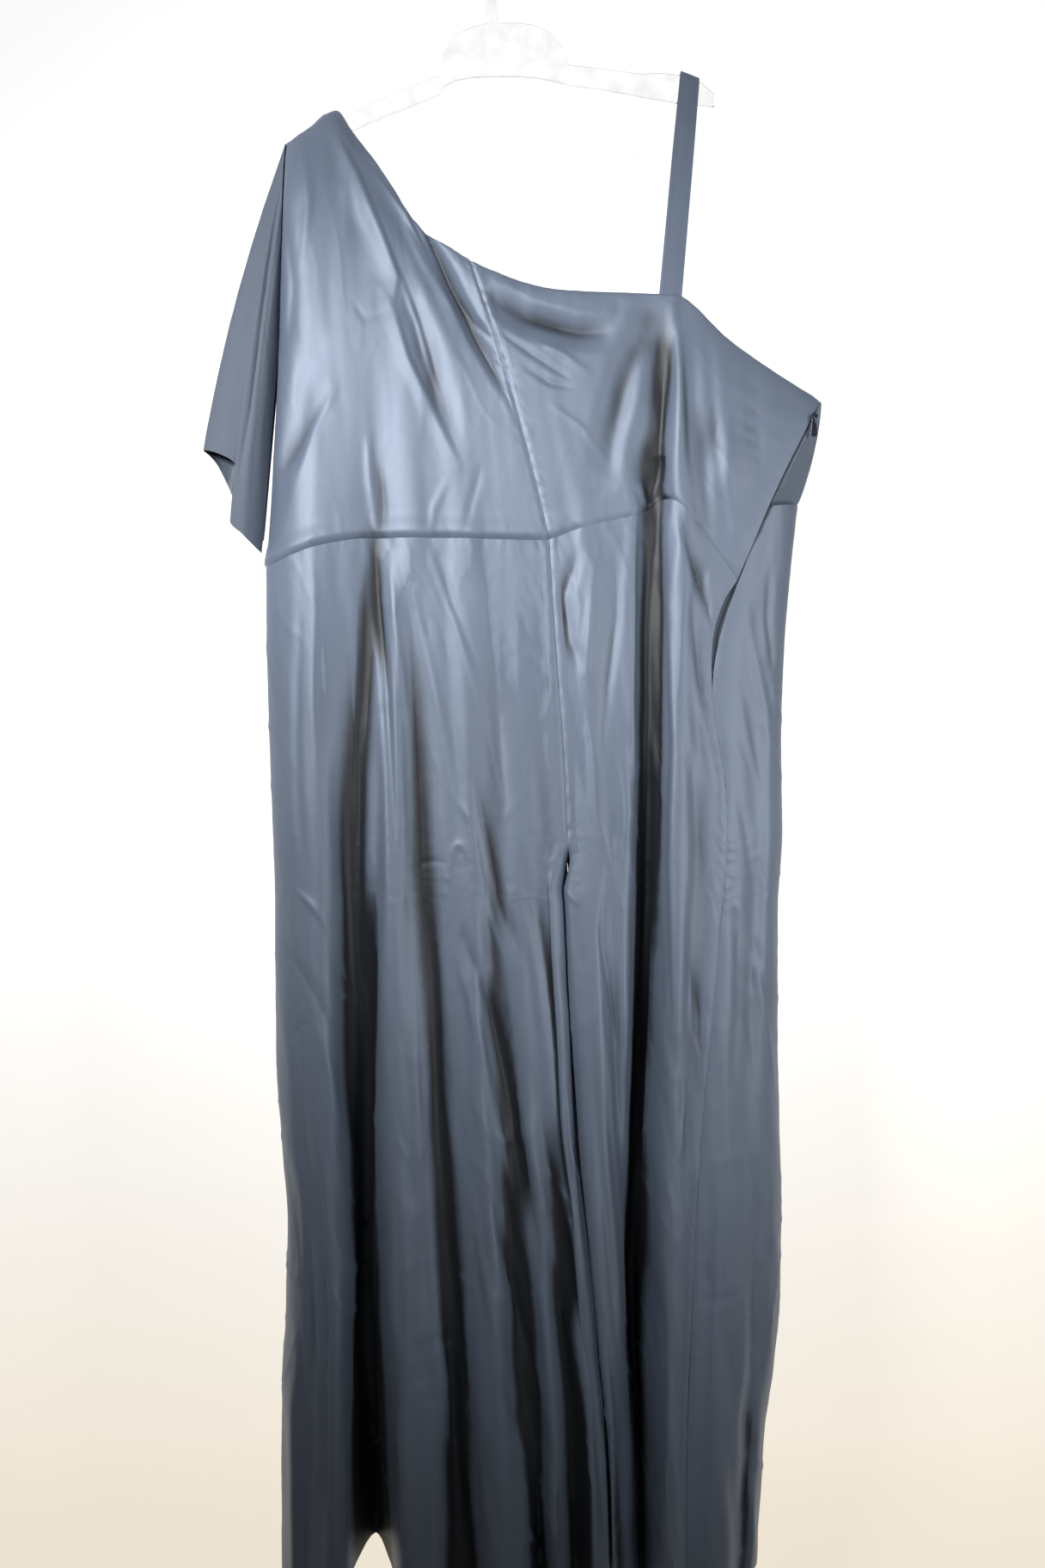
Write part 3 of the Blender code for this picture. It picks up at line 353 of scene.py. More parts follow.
LEG_LINES = (
    Crease("outer bright line", 2.6, 10, 5, 0.3, (
        (-126, -603), (-135, -645), (-138, -727), (-140, -818), (-136, -909),
    )),
    Crease("pleat valley", -5.0, 8, 9, 0.6, (
        (-119, -597), (-115, -645), (-108, -711), (-103, -785), (-98, -868), (-95, -934),
    )),
    Crease("deep valley", -7.0, 9, 15, 0.9, (
        (-112, -760), (-116, -900), (-124, -1080), (-128, -1280), (-132, -1450), (-134, -1610),
    )),
    Crease("second deep valley", -6.0, 14, 7, 0.9, (
        (146, -600), (147, -760), (146, -930), (140, -1100), (132, -1280), (126, -1450),
    )),
    Crease("inner bright line", 3.0, 5, 9, 0.2, ((-103, -610), (-100, -645), (-93, -717), (-87, -768))),
    Crease("triangle side", -2.2, 5, 12, 0.4, ((-85, -636), (-82, -719), (-77, -810), (-72, -917))),
    Crease("triangle edge", 1.6, 10, 6, 0.4, ((-80, -640), (-64, -711), (-47, -785), (-36, -851))),
    Crease("long bias crease", 1.3, 5, 5, 0.2, (
        (-66, -600), (-47, -653), (-26, -711), (-9, -768), (6, -843),
    )),
    Crease("long bias shade", -1.0, 6, 8, 0.5, ((-59, -603), (-37, -666), (-14, -735))),
    Crease("facet beside the centre", -3.4, 10, 12, 0.5, ((80, -603), (65, -645), (70, -690), (80, -711))),
    Crease("facet light", 2.6, 10, 9, 0.5, ((96, -603), (92, -669), (85, -735))),
    Crease("facet second shade", -2.4, 8, 10, 0.6, ((115, -603), (115, -669), (106, -735), (101, -801))),
    Crease("strap line", 2.4, 5, 5, 0.2, ((134, -570), (133, -653), (131, -752), (133, -859))),
    Crease("valley line", -3.0, 12, 4, 0.3, (
        (159, -562), (160, -653), (159, -752), (158, -859), (156, -983),
    )),
    Crease("panel ridge", 3.2, 4, 14, 0.3, (
        (166, -554), (167, -653), (171, -785), (167, -909), (171, -1066),
    )),
    Crease("panel crease", -4.0, 6, 12, 0.4, ((176, -562), (184, -595), (199, -645), (212, -688))),
    Crease("panel second crease", -2.0, 6, 10, 0.5, ((189, -653), (195, -719), (207, -785), (217, -843))),
    Crease("zip shade", -2.0, 8, 10, 0.7, ((222, -645), (210, -686), (205, -735))),
    Crease("flap crease", 1.8, 6, 8, 0.3, ((240, -653), (250, -702), (263, -760), (268, -818))),
    Crease("flap second crease", -1.8, 5, 8, 0.4, ((266, -620), (263, -669), (271, -727))),
    Crease("flap third crease", 1.5, 5, 7, 0.3, ((232, -735), (243, -785), (257, -843))),
    Crease("flap bias", -1.5, 6, 8, 0.4, ((225, -818), (240, -868), (250, -934))),
    Crease("flap bright line", 2.4, 7, 4, 0.2, ((240, -967), (252, -1008), (263, -1066), (271, -1123))),
    Crease("flap low crease", -2.2, 6, 9, 0.4, ((225, -909), (232, -975), (230, -1049), (224, -1123))),
    Crease("seam pull one", 1.5, 5, 6, 0.3, ((214, -1033), (205, -1099), (194, -1148))),
    Crease("seam pull two", -1.8, 5, 7, 0.3, ((184, -991), (194, -1049), (197, -1115))),
    Crease("right low ridge one", 2.8, 6, 8, 0.3, ((189, -1173), (195, -1255), (191, -1338), (182, -1429))),
    Crease("right low ridge two", 2.2, 6, 6, 0.3, ((215, -1231), (209, -1313), (205, -1396), (212, -1478))),
    Crease("right low valley", -3.6, 8, 9, 0.6, ((202, -1214), (200, -1297), (197, -1396), (194, -1511))),
    Crease("flap hem ridge", 2.4, 7, 7, 0.4, ((238, -1247), (233, -1346), (230, -1462), (235, -1569))),
    Crease("flap hem valley", -3.0, 8, 8, 0.6, ((253, -1198), (250, -1297), (243, -1412), (238, -1528))),
    Crease("crotch bias one", -3.2, 6, 12, 0.4, ((-23, -818), (-12, -858), (4, -943), (25, -997))),
    Crease("crotch bias one light", 2.0, 6, 6, 0.4, ((-31, -835), (-21, -884), (-8, -950), (12, -1000))),
    Crease("crotch bias two", -2.8, 6, 10, 0.4, ((38, -936), (49, -1009), (57, -1085), (62, -1148))),
    Crease("crotch bias two light", 1.8, 6, 5, 0.4, ((29, -950), (39, -1016), (47, -1082))),
    Crease("long low crease", -4.2, 8, 12, 0.5, (
        (-31, -974), (-13, -1014), (1, -1066), (19, -1156), (35, -1241), (51, -1330),
    )),
    Crease("long low light", 2.4, 7, 7, 0.4, (
        (-42, -983), (-24, -1033), (-9, -1099), (9, -1189), (24, -1264),
    )),
    Crease("low fan one", 2.4, 6, 8, 0.4, ((24, -1132), (42, -1214), (60, -1297), (75, -1371))),
    Crease("low fan two", -3.0, 6, 9, 0.4, ((42, -1148), (59, -1231), (75, -1313), (87, -1387))),
    Crease("low fan three", -2.6, 7, 8, 0.4, (
        (-9, -1173), (2, -1247), (19, -1321), (40, -1404), (52, -1478),
    )),
    Crease("low fan four", 2.2, 6, 7, 0.4, ((-24, -1198), (-14, -1272), (1, -1346), (19, -1420))),
    Crease("low fan five", -2.4, 7, 8, 0.5, ((-47, -1247), (-37, -1330), (-24, -1412), (-14, -1511))),
    Crease("low fan six", 2.4, 8, 7, 0.5, ((-64, -1214), (-59, -1305), (-50, -1396), (-41, -1495))),
    Crease("inner ridge", 3.4, 6, 7, 0.3, (
        (79, -1123), (86, -1198), (93, -1264), (102, -1363), (110, -1454),
    )),
    Crease("gap shade", -3.4, 7, 7, 0.4, (
        (88, -1033), (93, -1115), (101, -1206), (111, -1297), (118, -1396),
    )),
    Crease("left leg low ridge", 2.6, 7, 9, 0.4, ((105, -1066), (111, -1165), (120, -1264), (126, -1363))),
    Crease("left leg bias", -2.0, 6, 8, 0.4, ((106, -909), (101, -975), (111, -1041), (120, -1090))),
    Crease("valley B left line", 2.2, 8, 5, 0.3, ((126, -901), (126, -1000), (121, -1099), (120, -1198))),
    Crease("panel low line", -2.4, 6, 7, 0.4, ((184, -1297), (181, -1379), (174, -1470), (176, -1561))),
    Crease("panel hem light", 2.6, 7, 8, 0.4, ((162, -1313), (164, -1396), (161, -1478), (164, -1569))),
    Crease("knee line across", 0.7, 6, 5, 0.3, ((-113, -1095), (-88, -1085), (-64, -1090))),
    Crease("knee line across two", -0.5, 6, 6, 0.4, ((-88, -909), (-59, -901), (-31, -909))),
    Crease("outer panel bias one", 1.5, 6, 6, 0.3, ((-196, -925), (-169, -950), (-148, -983))),
    Crease("outer panel bias two", -1.8, 7, 8, 0.4, ((-202, -983), (-179, -1016), (-153, -1062))),
    Crease("outer panel bias three", 1.8, 6, 6, 0.3, ((-171, -1049), (-159, -1099), (-148, -1165))),
    Crease("outer panel ripple", -1.3, 6, 6, 0.5, ((-201, -1074), (-186, -1057), (-164, -1051))),
    Crease("outer panel long", -2.0, 8, 8, 0.6, ((-189, -653), (-192, -785), (-187, -901))),
    Crease("outer panel long two", 1.6, 8, 6, 0.5, ((-174, -636), (-176, -752), (-169, -868))),
    Crease("outer low long", -3.2, 8, 10, 0.6, (
        (-169, -1173), (-164, -1288), (-159, -1412), (-163, -1552),
    )),
    Crease("outer low light", 2.2, 8, 7, 0.5, ((-186, -1148), (-182, -1264), (-179, -1396), (-182, -1544))),
    Crease("hem corner", 1.6, 8, 7, 0.5, ((-201, -1363), (-192, -1445), (-186, -1528))),
    Crease("middle light one", 1.8, 8, 8, 0.5, ((-80, -950), (-77, -1066), (-74, -1181), (-75, -1297))),
    Crease("middle shade one", -1.6, 8, 8, 0.6, ((-59, -967), (-55, -1066), (-57, -1173))),
    Crease("middle low across", -1.4, 7, 6, 0.4, ((-82, -1363), (-55, -1353), (-24, -1359), (1, -1346))),
    Crease("middle low across two", 1.3, 6, 6, 0.4, ((-17, -1320), (11, -1310), (40, -1313))),
    Crease("hem light one", 2.2, 8, 8, 0.5, ((-88, -1396), (-85, -1478), (-82, -1569))),
    Crease("hem shade one", -2.4, 8, 8, 0.5, ((-64, -1429), (-62, -1503), (-59, -1577))),
    Crease("hem light two", 2.2, 8, 8, 0.5, ((19, -1437), (26, -1511), (29, -1577))),
    Crease("hem shade two", -2.4, 8, 8, 0.5, ((52, -1429), (60, -1503), (62, -1577))),
    Crease("hem light three", 2.4, 7, 7, 0.5, ((93, -1412), (101, -1495), (105, -1577))),
)
BACK_BODICE_LINES = (
    Crease("shoulder pull", -3.0, 14, 8, 0.4, ((-150, -190), (-120, -270), (-70, -360), (-20, -440))),
    Crease("shoulder ridge", 2.4, 6, 12, 0.3, ((-168, -205), (-140, -300), (-100, -400), (-76, -470))),
    Crease("back neck fold", -3.4, 12, 6, 0.5, ((-40, -345), (-10, -420), (30, -500), (48, -560))),
    Crease("waist line", 1.8, 7, 5, 0.4, ((-60, -480), (-66, -540), (-60, -592))),
    Crease("strap pull", 3.0, 6, 8, 0.3, ((166, -392), (150, -460), (120, -530))),
    Crease("strap shade", -3.2, 9, 6, 0.5, ((178, -396), (172, -470), (158, -548))),
    Crease("side line", 1.6, 6, 8, 0.4, ((236, -440), (226, -500), (214, -556))),
    Crease("outer fold", -2.2, 10, 14, 0.7, ((-180, -400), (-196, -470), (-204, -560))),
    Crease("small bias", 1.1, 5, 6, 0.4, ((60, -430), (90, -462), (118, -474))),
)
BACK_LEG_LINES = (
    Crease("outer line", 2.6, 9, 6, 0.3, ((-176, -640), (-182, -780), (-180, -940), (-176, -1120))),
    Crease("outer shade", -3.4, 8, 11, 0.6, ((-150, -620), (-158, -800), (-152, -1000), (-146, -1180))),
    Crease("first fold", 3.0, 6, 9, 0.3, ((-86, -610), (-92, -740), (-98, -900), (-96, -1080))),
    Crease("first shade", -2.6, 8, 7, 0.5, ((-30, -640), (-42, -800), (-52, -980), (-50, -1160))),
    Crease("seat bias", -2.4, 7, 10, 0.4, ((40, -700), (16, -790), (-14, -880), (-60, -980))),
    Crease("seat light", 1.8, 7, 6, 0.4, ((62, -760), (40, -850), (10, -930))),
    Crease("left seat bias", 2.0, 6, 8, 0.4, ((92, -720), (120, -820), (160, -930))),
    Crease("left fold", -3.4, 8, 10, 0.5, ((136, -600), (130, -780), (134, -980), (132, -1180))),
    Crease("left line", 2.8, 6, 8, 0.3, ((196, -580), (192, -760), (194, -960), (190, -1160))),
    Crease("side crease", -2.0, 8, 6, 0.4, ((246, -640), (238, -800), (240, -980))),
    Crease("knee across", 1.2, 6, 6, 0.4, ((-120, -1120), (-80, -1108), (-30, -1116))),
    Crease("low fan one", -3.0, 8, 9, 0.5, ((-60, -1180), (-40, -1300), (-20, -1420), (4, -1560))),
    Crease("low fan two", 2.6, 7, 8, 0.4, ((-96, -1200), (-84, -1340), (-70, -1470), (-62, -1590))),
    Crease("low fan three", -2.8, 8, 9, 0.5, ((-150, -1240), (-142, -1380), (-140, -1500), (-136, -1590))),
    Crease("low fan four", 2.4, 7, 7, 0.4, ((20, -1240), (38, -1360), (54, -1480), (62, -1590))),
    Crease("left low fold", -3.2, 8, 9, 0.5, ((150, -1220), (146, -1350), (150, -1470), (146, -1590))),
    Crease("left low light", 2.6, 7, 7, 0.4, ((186, -1210), (184, -1340), (176, -1470), (178, -1590))),
    Crease("left low bias", 1.8, 6, 7, 0.4, ((226, -1120), (214, -1230), (204, -1330))),
)
SLEEVE_LINES = (
    Crease("fold between the lobes", -5.0, 3, 9, 0.4, (
        (-212, -240), (-223, -318), (-241, -468), (-250, -520),
    )),
    Crease("front fold", 2.4, 5, 8, 0.3, ((-222, -260), (-238, -380), (-252, -480), (-262, -540))),
    Crease("second fold", -2.2, 7, 5, 0.5, ((-214, -280), (-226, -400), (-236, -500), (-240, -560))),
    Crease("cap pull", 1.4, 5, 7, 0.4, ((-208, -220), (-216, -300), (-222, -380))),
)

# Layers of small wrinkles: height in mm, what is added to it at the hem, width and length in mm, and lean in
# degrees. Pinched ones are thin ridges, which keep to patches of a width and length in mm.
Wrinkle = namedtuple("Wrinkle", "height lower wide long lean")
LONG_WRINKLES = (Wrinkle(0.5, 1.5, 27, 240, 0), Wrinkle(0.3, 0.9, 13, 120, 7))
Pinched = namedtuple("Pinched", "height lower wide long lean sharpness filled patch_wide patch_long")
PINCHED_WRINKLES = (
    Pinched(0.8, 1.3, 34, 150, 16, 9, 0.25, 90, 140),
    Pinched(0.5, 1.1, 30, 110, -24, 9, 0.1, 70, 110),
    Pinched(0.25, 0.8, 26, 70, 78, 7, 0.0, 60, 80),
)
CRUMPLE, CRUMPLE_WIDE, CRUMPLE_LONG = 0.10, 6 * MM, 9 * MM
WRINKLED = (-700 * MM, -1350 * MM)
SEWN = {}


def smooth(knots, values, where):
    """Height of a smooth curve through the knots, with no overshoot, held level past both ends."""
    knots = np.asarray(knots, float)
    values = np.asarray(values, float)
    if knots[0] > knots[-1]:
        knots, values = knots[::-1], values[::-1]
    rises = np.diff(values) / np.diff(knots)
    before, after = rises[:-1], rises[1:]
    level = before * after <= 0
    middle = np.where(level, 0, 2 * before * after / np.where(level, 1, before + after))
    slopes = np.concatenate([rises[:1], middle, rises[-1:]])
    where = np.clip(where, knots[0], knots[-1])
    i = np.clip(np.searchsorted(knots, where, side="right") - 1, 0, len(knots) - 2)
    span = knots[i + 1] - knots[i]
    t = (where - knots[i]) / span
    start = (1 + 2 * t) * (1 - t) ** 2 * values[i] + t * (1 - t) ** 2 * span * slopes[i]
    end = t * t * (3 - 2 * t) * values[i + 1] + t * t * (t - 1) * span * slopes[i + 1]
    return start + end


def column(table, name):
    return np.array([getattr(row, name) for row in table], float) * MM


def section(name, z):
    return smooth(column(SECTIONS, "height"), column(SECTIONS, name), z)


def ease(start, end, z):
    """0 before start and 1 after end, with a soft change between."""
    t = np.clip((z - start) / (end - start), 0, 1)
    return t * t * (3 - 2 * t)


def ridge(away):
    """1 on the line of a fold, 0 a half width away from it."""
    return 0.5 + 0.5 * np.cos(pi * np.clip(away, -1, 1))


def folds_at(folds, x, z):
    """How far the folds of this table move the cloth out at a place."""
    heights = np.array(FOLD_HEIGHTS) * MM
    total = 0.0
    for fold in folds:
        line = smooth(heights, np.array(fold[1:5]) * MM, z)
        depth = smooth(heights, np.array(fold[5:9]) * MM, z)
        total = total + depth * ridge((x - line) / (fold.half_width * MM))
    return total


def drapes_at(x, z):
    """How far the straight folds of the bodice move the cloth out at a place."""
    total = 0.0
    for drape in BODICE_DRAPES:
        run_x, run_z = (drape.x_low - drape.x_top) * MM, (drape.z_low - drape.z_top) * MM
        off_x, off_z = x - drape.x_top * MM, z - drape.z_top * MM
        along = (off_x * run_x + off_z * run_z) / (run_x**2 + run_z**2)
        across = (off_x * run_z - off_z * run_x) / hypot(run_x, run_z)
        taper = np.sin(pi * np.clip(along, 0, 1)) ** 0.7
        total = total + drape.depth * MM * taper * ridge(across / (drape.half_width * MM))
    return total


def roll(distance, radius):
    """Quarter-ellipse rise of the cloth from its edge, 0 at the edge and 1 a radius in."""
    return np.sqrt(1 - (1 - np.clip(distance / radius, 0, 1)) ** 2)


def front_depth(x, z):
    """How far the front of the cloth stands out before the hanger's plane."""
    full = section("front", z) + folds_at(FRONT_FOLDS, x, z) + folds_at(SIDE_FOLDS, x, z)
    return full * roll(x - section("left", z), LEFT_ROLL) * roll(section("right", z) - x, RIGHT_ROLL)


def back_depth(x, z):
    full = section("back", z) + folds_at(BACK_FOLDS, x, z)
    return full * roll(x - section("left", z), BACK_ROLL) * roll(section("right", z) - x, BACK_ROLL)


def side_line(z):
    return smooth(column(SIDE_LINE, "height"), column(SIDE_LINE, "across"), z)


def waist_height(table, x):
    return smooth(column(table, "across"), column(table, "height"), x)


def waist_shift(level, x, waist):
    """How far a row still lies above or below its level, to follow the waist seam."""
    return (waist_height(waist, x) - WAIST_BLEND[0]) * (1 - ease(*WAIST_BLEND, level))


def leg_levels():
    steps = [np.linspace(top, low, count, endpoint=False) for top, low, count in LEG_ROWS]
    return np.append(np.concatenate(steps), LEG_ROWS[-1][1]) * MM


def row_height(level, x, waist):
    """Rows start on the waist seam, run level down the legs and rise with the hem's folds."""
    rise = NOTCH_RISE * ridge((x - HEM_NOTCH) / NOTCH_HALF) + HEM_WAVE * np.sin(x / WAVE_LENGTH)
    return level + waist_shift(level, x, waist) + rise * ease(*HEM_BLEND, level)


def side_of(level, waist):
    """Where a row meets the side seam, at the height it has there."""
    return side_line(level + waist_shift(level, SIDE_WAIST, waist))


def edge_angles(count):
    return np.linspace(0, pi / 2, count, endpoint=False)


def leg_sheet(places, waist):
    """Grid of a leg panel, from a function that gives each level's points across as x and y."""
    rows = []
    for level in leg_levels():
        x, y = places(level)
        rows.append(np.stack([x, y, row_height(level, x, waist)], axis=1))
    return np.array(rows)


def inner_roll(side, level, count, depth):
    """Points across where a leg turns back to its inseam, from the flat of the panel to the seam.

    side is -1 for the leg left of the centre and 1 for the other, depth gives the panel's depth. A round
    edge is followed by a straight wall, and in front both walls lean so that one leg covers the other.
    """
    later = LATER_BEHIND if depth is back_depth else 0.0
    dive = ease(DIVE_START - later, CROTCH - later, level)
    apart = LEG_GAP / 2 * dive
    turn = np.linspace(0, pi / 2, count - INNER_STRAIGHT)
    spread = np.append(1 - np.sin(turn), np.zeros(INNER_STRAIGHT))
    spread = dive * spread + (1 - dive) * np.linspace(1, 0, count)
    x = section("centre", level) + side * (apart + INNER_ROLL * spread)
    flat = depth(x, level)
    total = -CROTCH_DEPTH - flat
    edge = np.copysign(INNER_ROLL, total)
    wall = np.linspace(0, 1, INNER_STRAIGHT + 1)[1:]
    drop = np.append(edge[: len(turn)] * (1 - np.cos(turn)), edge[0] + (total - edge)[-len(wall) :] * wall)
    lean = INNER_LEAN * dive * (total > 0) * (1 - drop / total)
    return x - lean, flat + drop * dive


def minus_front(x, z):
    return -front_depth(x, z)


def right_front(level):
    left = section("left", level)
    back = back_depth(left + BACK_ROLL * (1 - cos(SIDE_SEAM_ANGLE)), level)
    rolled = left + LEFT_ROLL * (1 - np.cos(edge_angles(5)))
    flat = np.linspace(left + LEFT_ROLL, section("centre", level) - INNER_ROLL, 17, endpoint=False)
    x = np.concatenate([rolled, flat])
    inner_x, inner_y = inner_roll(-1, level, 6, minus_front)
    x = np.concatenate([[left + BACK_ROLL * (1 - cos(SIDE_SEAM_ANGLE))], x, inner_x])
    return x, np.concatenate([[back], minus_front(x[1:-6], level), inner_y])


def left_front(level):
    inner_x, inner_y = inner_roll(1, level, 6, minus_front)
    side = side_of(level, FRONT_WAIST)
    flat = np.linspace(section("centre", level) + INNER_ROLL, side, 15)[1:]
    x = np.concatenate([inner_x[::-1], flat])
    return x, np.concatenate([inner_y[::-1], minus_front(flat, level)])


def left_back(level):
    side, right = side_of(level, BACK_WAIST), section("right", level)
    start = np.arccos(np.clip(1 - (right - side) / RIGHT_ROLL, -1, 1))
    flap = right - RIGHT_ROLL * (1 - np.cos(np.linspace(start, 0, 7)))
    behind = right - BACK_ROLL * (1 - np.cos(edge_angles(4)[1:]))
    flat = np.linspace(right - BACK_ROLL, section("centre", level) + INNER_ROLL, 9, endpoint=False)
    inner_x, inner_y = inner_roll(1, level, 5, back_depth)
    x = np.concatenate([flap, behind, flat])
    y = np.concatenate([minus_front(flap, level), back_depth(x[7:], level), inner_y])
    return np.concatenate([x, inner_x]), y


def right_back(level):
    left = section("left", level)
    inner_x, inner_y = inner_roll(-1, level, 5, back_depth)
    angles = np.linspace(SIDE_SEAM_ANGLE, pi / 2, 4, endpoint=False)
    rolled = left + BACK_ROLL * (1 - np.cos(angles))
    flat = np.linspace(section("centre", level) - INNER_ROLL, left + BACK_ROLL, 12)[1:]
    x = np.concatenate([flat, rolled[::-1]])
    return np.concatenate([inner_x[::-1], x]), np.concatenate([inner_y[::-1], back_depth(x, level)])


def bodice_sheet(waist_row, lines, folds, facing):
    """Grid of a bodice panel that rises from the row of points along its waist seam.

    facing is -1 for the front and 1 for the back.
    """
    fractions = BODICE_ROWS
    waist_x, waist_y, waist_z = waist_row.T
    knots = column(lines, "waist")
    top = {name: smooth(knots, column(lines, name), waist_x) for name in ("x", "height", "depth", "bow")}
    x = top["x"] * (1 - fractions) + waist_x * fractions + top["bow"] * 4 * fractions * (1 - fractions)
    z = top["height"] * (1 - fractions) + waist_z * fractions
    rise = np.sqrt(1 - (1 - fractions) ** 2)
    gathered = folds_at(folds, waist_x, waist_z)
    base = waist_y - facing * gathered
    y = facing * top["depth"] * (1 - rise) + base * rise + facing * gathered * fractions**3
    underarm = fractions[UNDERARM_ROW]
    opening = ARMHOLE_OPENING * np.sin(pi * np.clip(fractions / underarm, 0, 1) ** 0.6)
    from_left = waist_x - section("left", WAIST_BLEND[0])
    y = y + facing * opening * ridge(from_left / ARMHOLE_REACH)
    if facing < 0:
        inside = ease(0, CREASE_EDGE, from_left)
        y = y - drapes_at(x, z) * inside * np.sin(pi * fractions) ** 0.5
        to_zip = ease(ZIP_REACH, 0, waist_x[-1] - waist_x) * (waist_x[-1] > SIDE_WAIST - ZIP_REACH)
        x = x + (side_line(z[:, -1:]) - x[:, -1:]) * to_zip
    return np.stack([x, y, z], axis=2)


def unit(vectors):
    return vectors / np.linalg.norm(vectors, axis=-1, keepdims=True)


def normals_of(sheet):
    across = np.gradient(sheet, axis=1)
    down = np.gradient(sheet, axis=0)
    return unit(np.cross(down, across))


def share(first, second):
    """One direction for the walls of two panels along the seam that joins them."""
    together = unit(first + second)
    first[...] = together
    second[...] = together


def step_back(edge, neighbour, gap):
    """Moves a sheet's edge back from its seam along the cloth, so that the gap is square to the seam."""
    inwards = unit(neighbour - edge)
    along = unit(np.gradient(edge, axis=0))
    slant = np.sqrt(1 - (inwards * along).sum(axis=-1, keepdims=True) ** 2)
    edge += inwards * gap / np.maximum(slant, 0.3)


def garment_sheets():
    """Sheets of all the sewn panels, with their seams opened by the seam gap."""
    sheets = {
        "front_leg_right": leg_sheet(right_front, FRONT_WAIST),
        "front_leg_left": leg_sheet(left_front, FRONT_WAIST),
        "back_leg_left": leg_sheet(left_back, BACK_WAIST),
        "back_leg_right": leg_sheet(right_back, BACK_WAIST),
    }
    back_row = np.concatenate([sheets["back_leg_left"][0], sheets["back_leg_right"][0, 1:]])
    front_folds = FRONT_FOLDS + SIDE_FOLDS
    sheets["front_bodice_right"] = bodice_sheet(sheets["front_leg_right"][0], FRONT_LINES, front_folds, -1)
    sheets["front_bodice_left"] = bodice_sheet(sheets["front_leg_left"][0], FRONT_LINES, front_folds, -1)
    sheets["back_bodice"] = back_bodice_sheet(back_row)
    return sheets


def back_bodice_sheet(waist_row):
    """The back panel, whose first columns are the flap that shows beside the zip."""
    sheet = bodice_sheet(waist_row, BACK_LINES, BACK_FOLDS, 1)
    turn = int(np.argmax(waist_row[:, 0]))
    fractions = BODICE_ROWS
    rise = np.sqrt(1 - (1 - fractions) ** 2)
    top_z = FRONT_LINES[-1].height * MM
    across = np.linspace(0, 1, turn + 1)[None, :]
    flap = sheet[:, : turn + 1]
    flap[..., 2] = top_z * (1 - fractions) + waist_row[: turn + 1, 2] * fractions
    flap[..., 0] = side_line(flap[:, :1, 2]) * (1 - across) + sheet[:, turn : turn + 1, 0] * across
    top_depth = -FRONT_LINES[-1].depth * MM * (1 - across)
    flap[..., 1] = top_depth * (1 - rise) + waist_row[: turn + 1, 1] * rise
    return sheet


def join_seams(sheets):
    """Shared wall directions and a gap along each seam."""
    normals = {name: normals_of(sheet) for name, sheet in sheets.items()}
    levels = leg_levels()
    rise = levels >= DIVE_START - SEAM
    inseam = levels <= CROTCH + SEAM
    below_underarm = slice(UNDERARM_ROW, None)
    whole = slice(None)
    split = sheets["back_leg_left"].shape[1]
    seams = (
        ("front_leg_right", (rise, -1), "front_leg_left", (rise, 0)),
        ("back_leg_left", (rise, -1), "back_leg_right", (rise, 0)),
        ("front_leg_right", (inseam, -1), "back_leg_right", (inseam, 0)),
        ("front_leg_left", (inseam, 0), "back_leg_left", (inseam, -1)),
        ("front_leg_right", (whole, 0), "back_leg_right", (whole, -1)),
        ("front_leg_left", (whole, -1), "back_leg_left", (whole, 0)),
        ("front_bodice_right", (whole, -1), "front_bodice_left", (whole, 0)),
        ("front_bodice_right", (below_underarm, 0), "back_bodice", (below_underarm, -1)),
        ("front_bodice_right", (-1, whole), "front_leg_right", (0, whole)),
        ("front_bodice_left", (-1, whole), "front_leg_left", (0, whole)),
        ("back_bodice", (-1, slice(None, split)), "back_leg_left", (0, whole)),
        ("back_bodice", (-1, slice(split - 1, None)), "back_leg_right", (0, whole)),
    )
    for first, where, second, there in seams:
        one, other = normals[first][where], normals[second][there]
        share(one, other)
        normals[first][where] = one
        normals[second][there] = other
    for name, way in (("front_bodice_right", -1), ("back_bodice", 1)):
        shoulder = sheets[name][0, :, 0] < SHOULDER_PEAK
        normals[name][0, shoulder] = (0, 0, 1)
        sheets[name][0, shoulder, 1] += way * SEAM / 2
    for name, sheet in sheets.items():
        first_gap = ZIP_OPENING / 2 if name == "back_bodice" else SEAM / 2
        last_gap = ZIP_OPENING / 2 if name == "front_bodice_left" else SEAM / 2
        step_back(sheet[:, 0], sheet[:, 1].copy(), first_gap)
        step_back(sheet[:, -1], sheet[:, -2].copy(), last_gap)
        waist, inside = (0, 1) if "leg" in name else (-1, -2)
        step_back(sheet[waist], sheet[inside].copy(), SEAM / 2)
    return normals


def open_zip_below_waist(sheets):
    """Widens the side seam to the zip's opening as far down as the zip runs."""
    levels = leg_levels()
    zipped = levels > WAIST_BLEND[1] - SEAM
    more = ZIP_OPENING / 2 - SEAM / 2
    for name, edge, inside in (("front_leg_left", -1, -2), ("back_leg_left", 0, 1)):
        points = sheets[name][zipped, edge]
        step_back(points, sheets[name][zipped, inside], more)
        sheets[name][zipped, edge] = points


def halved(points):
    """The same line of points with one more in the middle of each stretch."""
    middle = (points[1:] + points[:-1]) / 2
    both = np.empty((len(points) * 2 - 1, 3))
    both[0::2] = points
    both[1::2] = middle
    return both


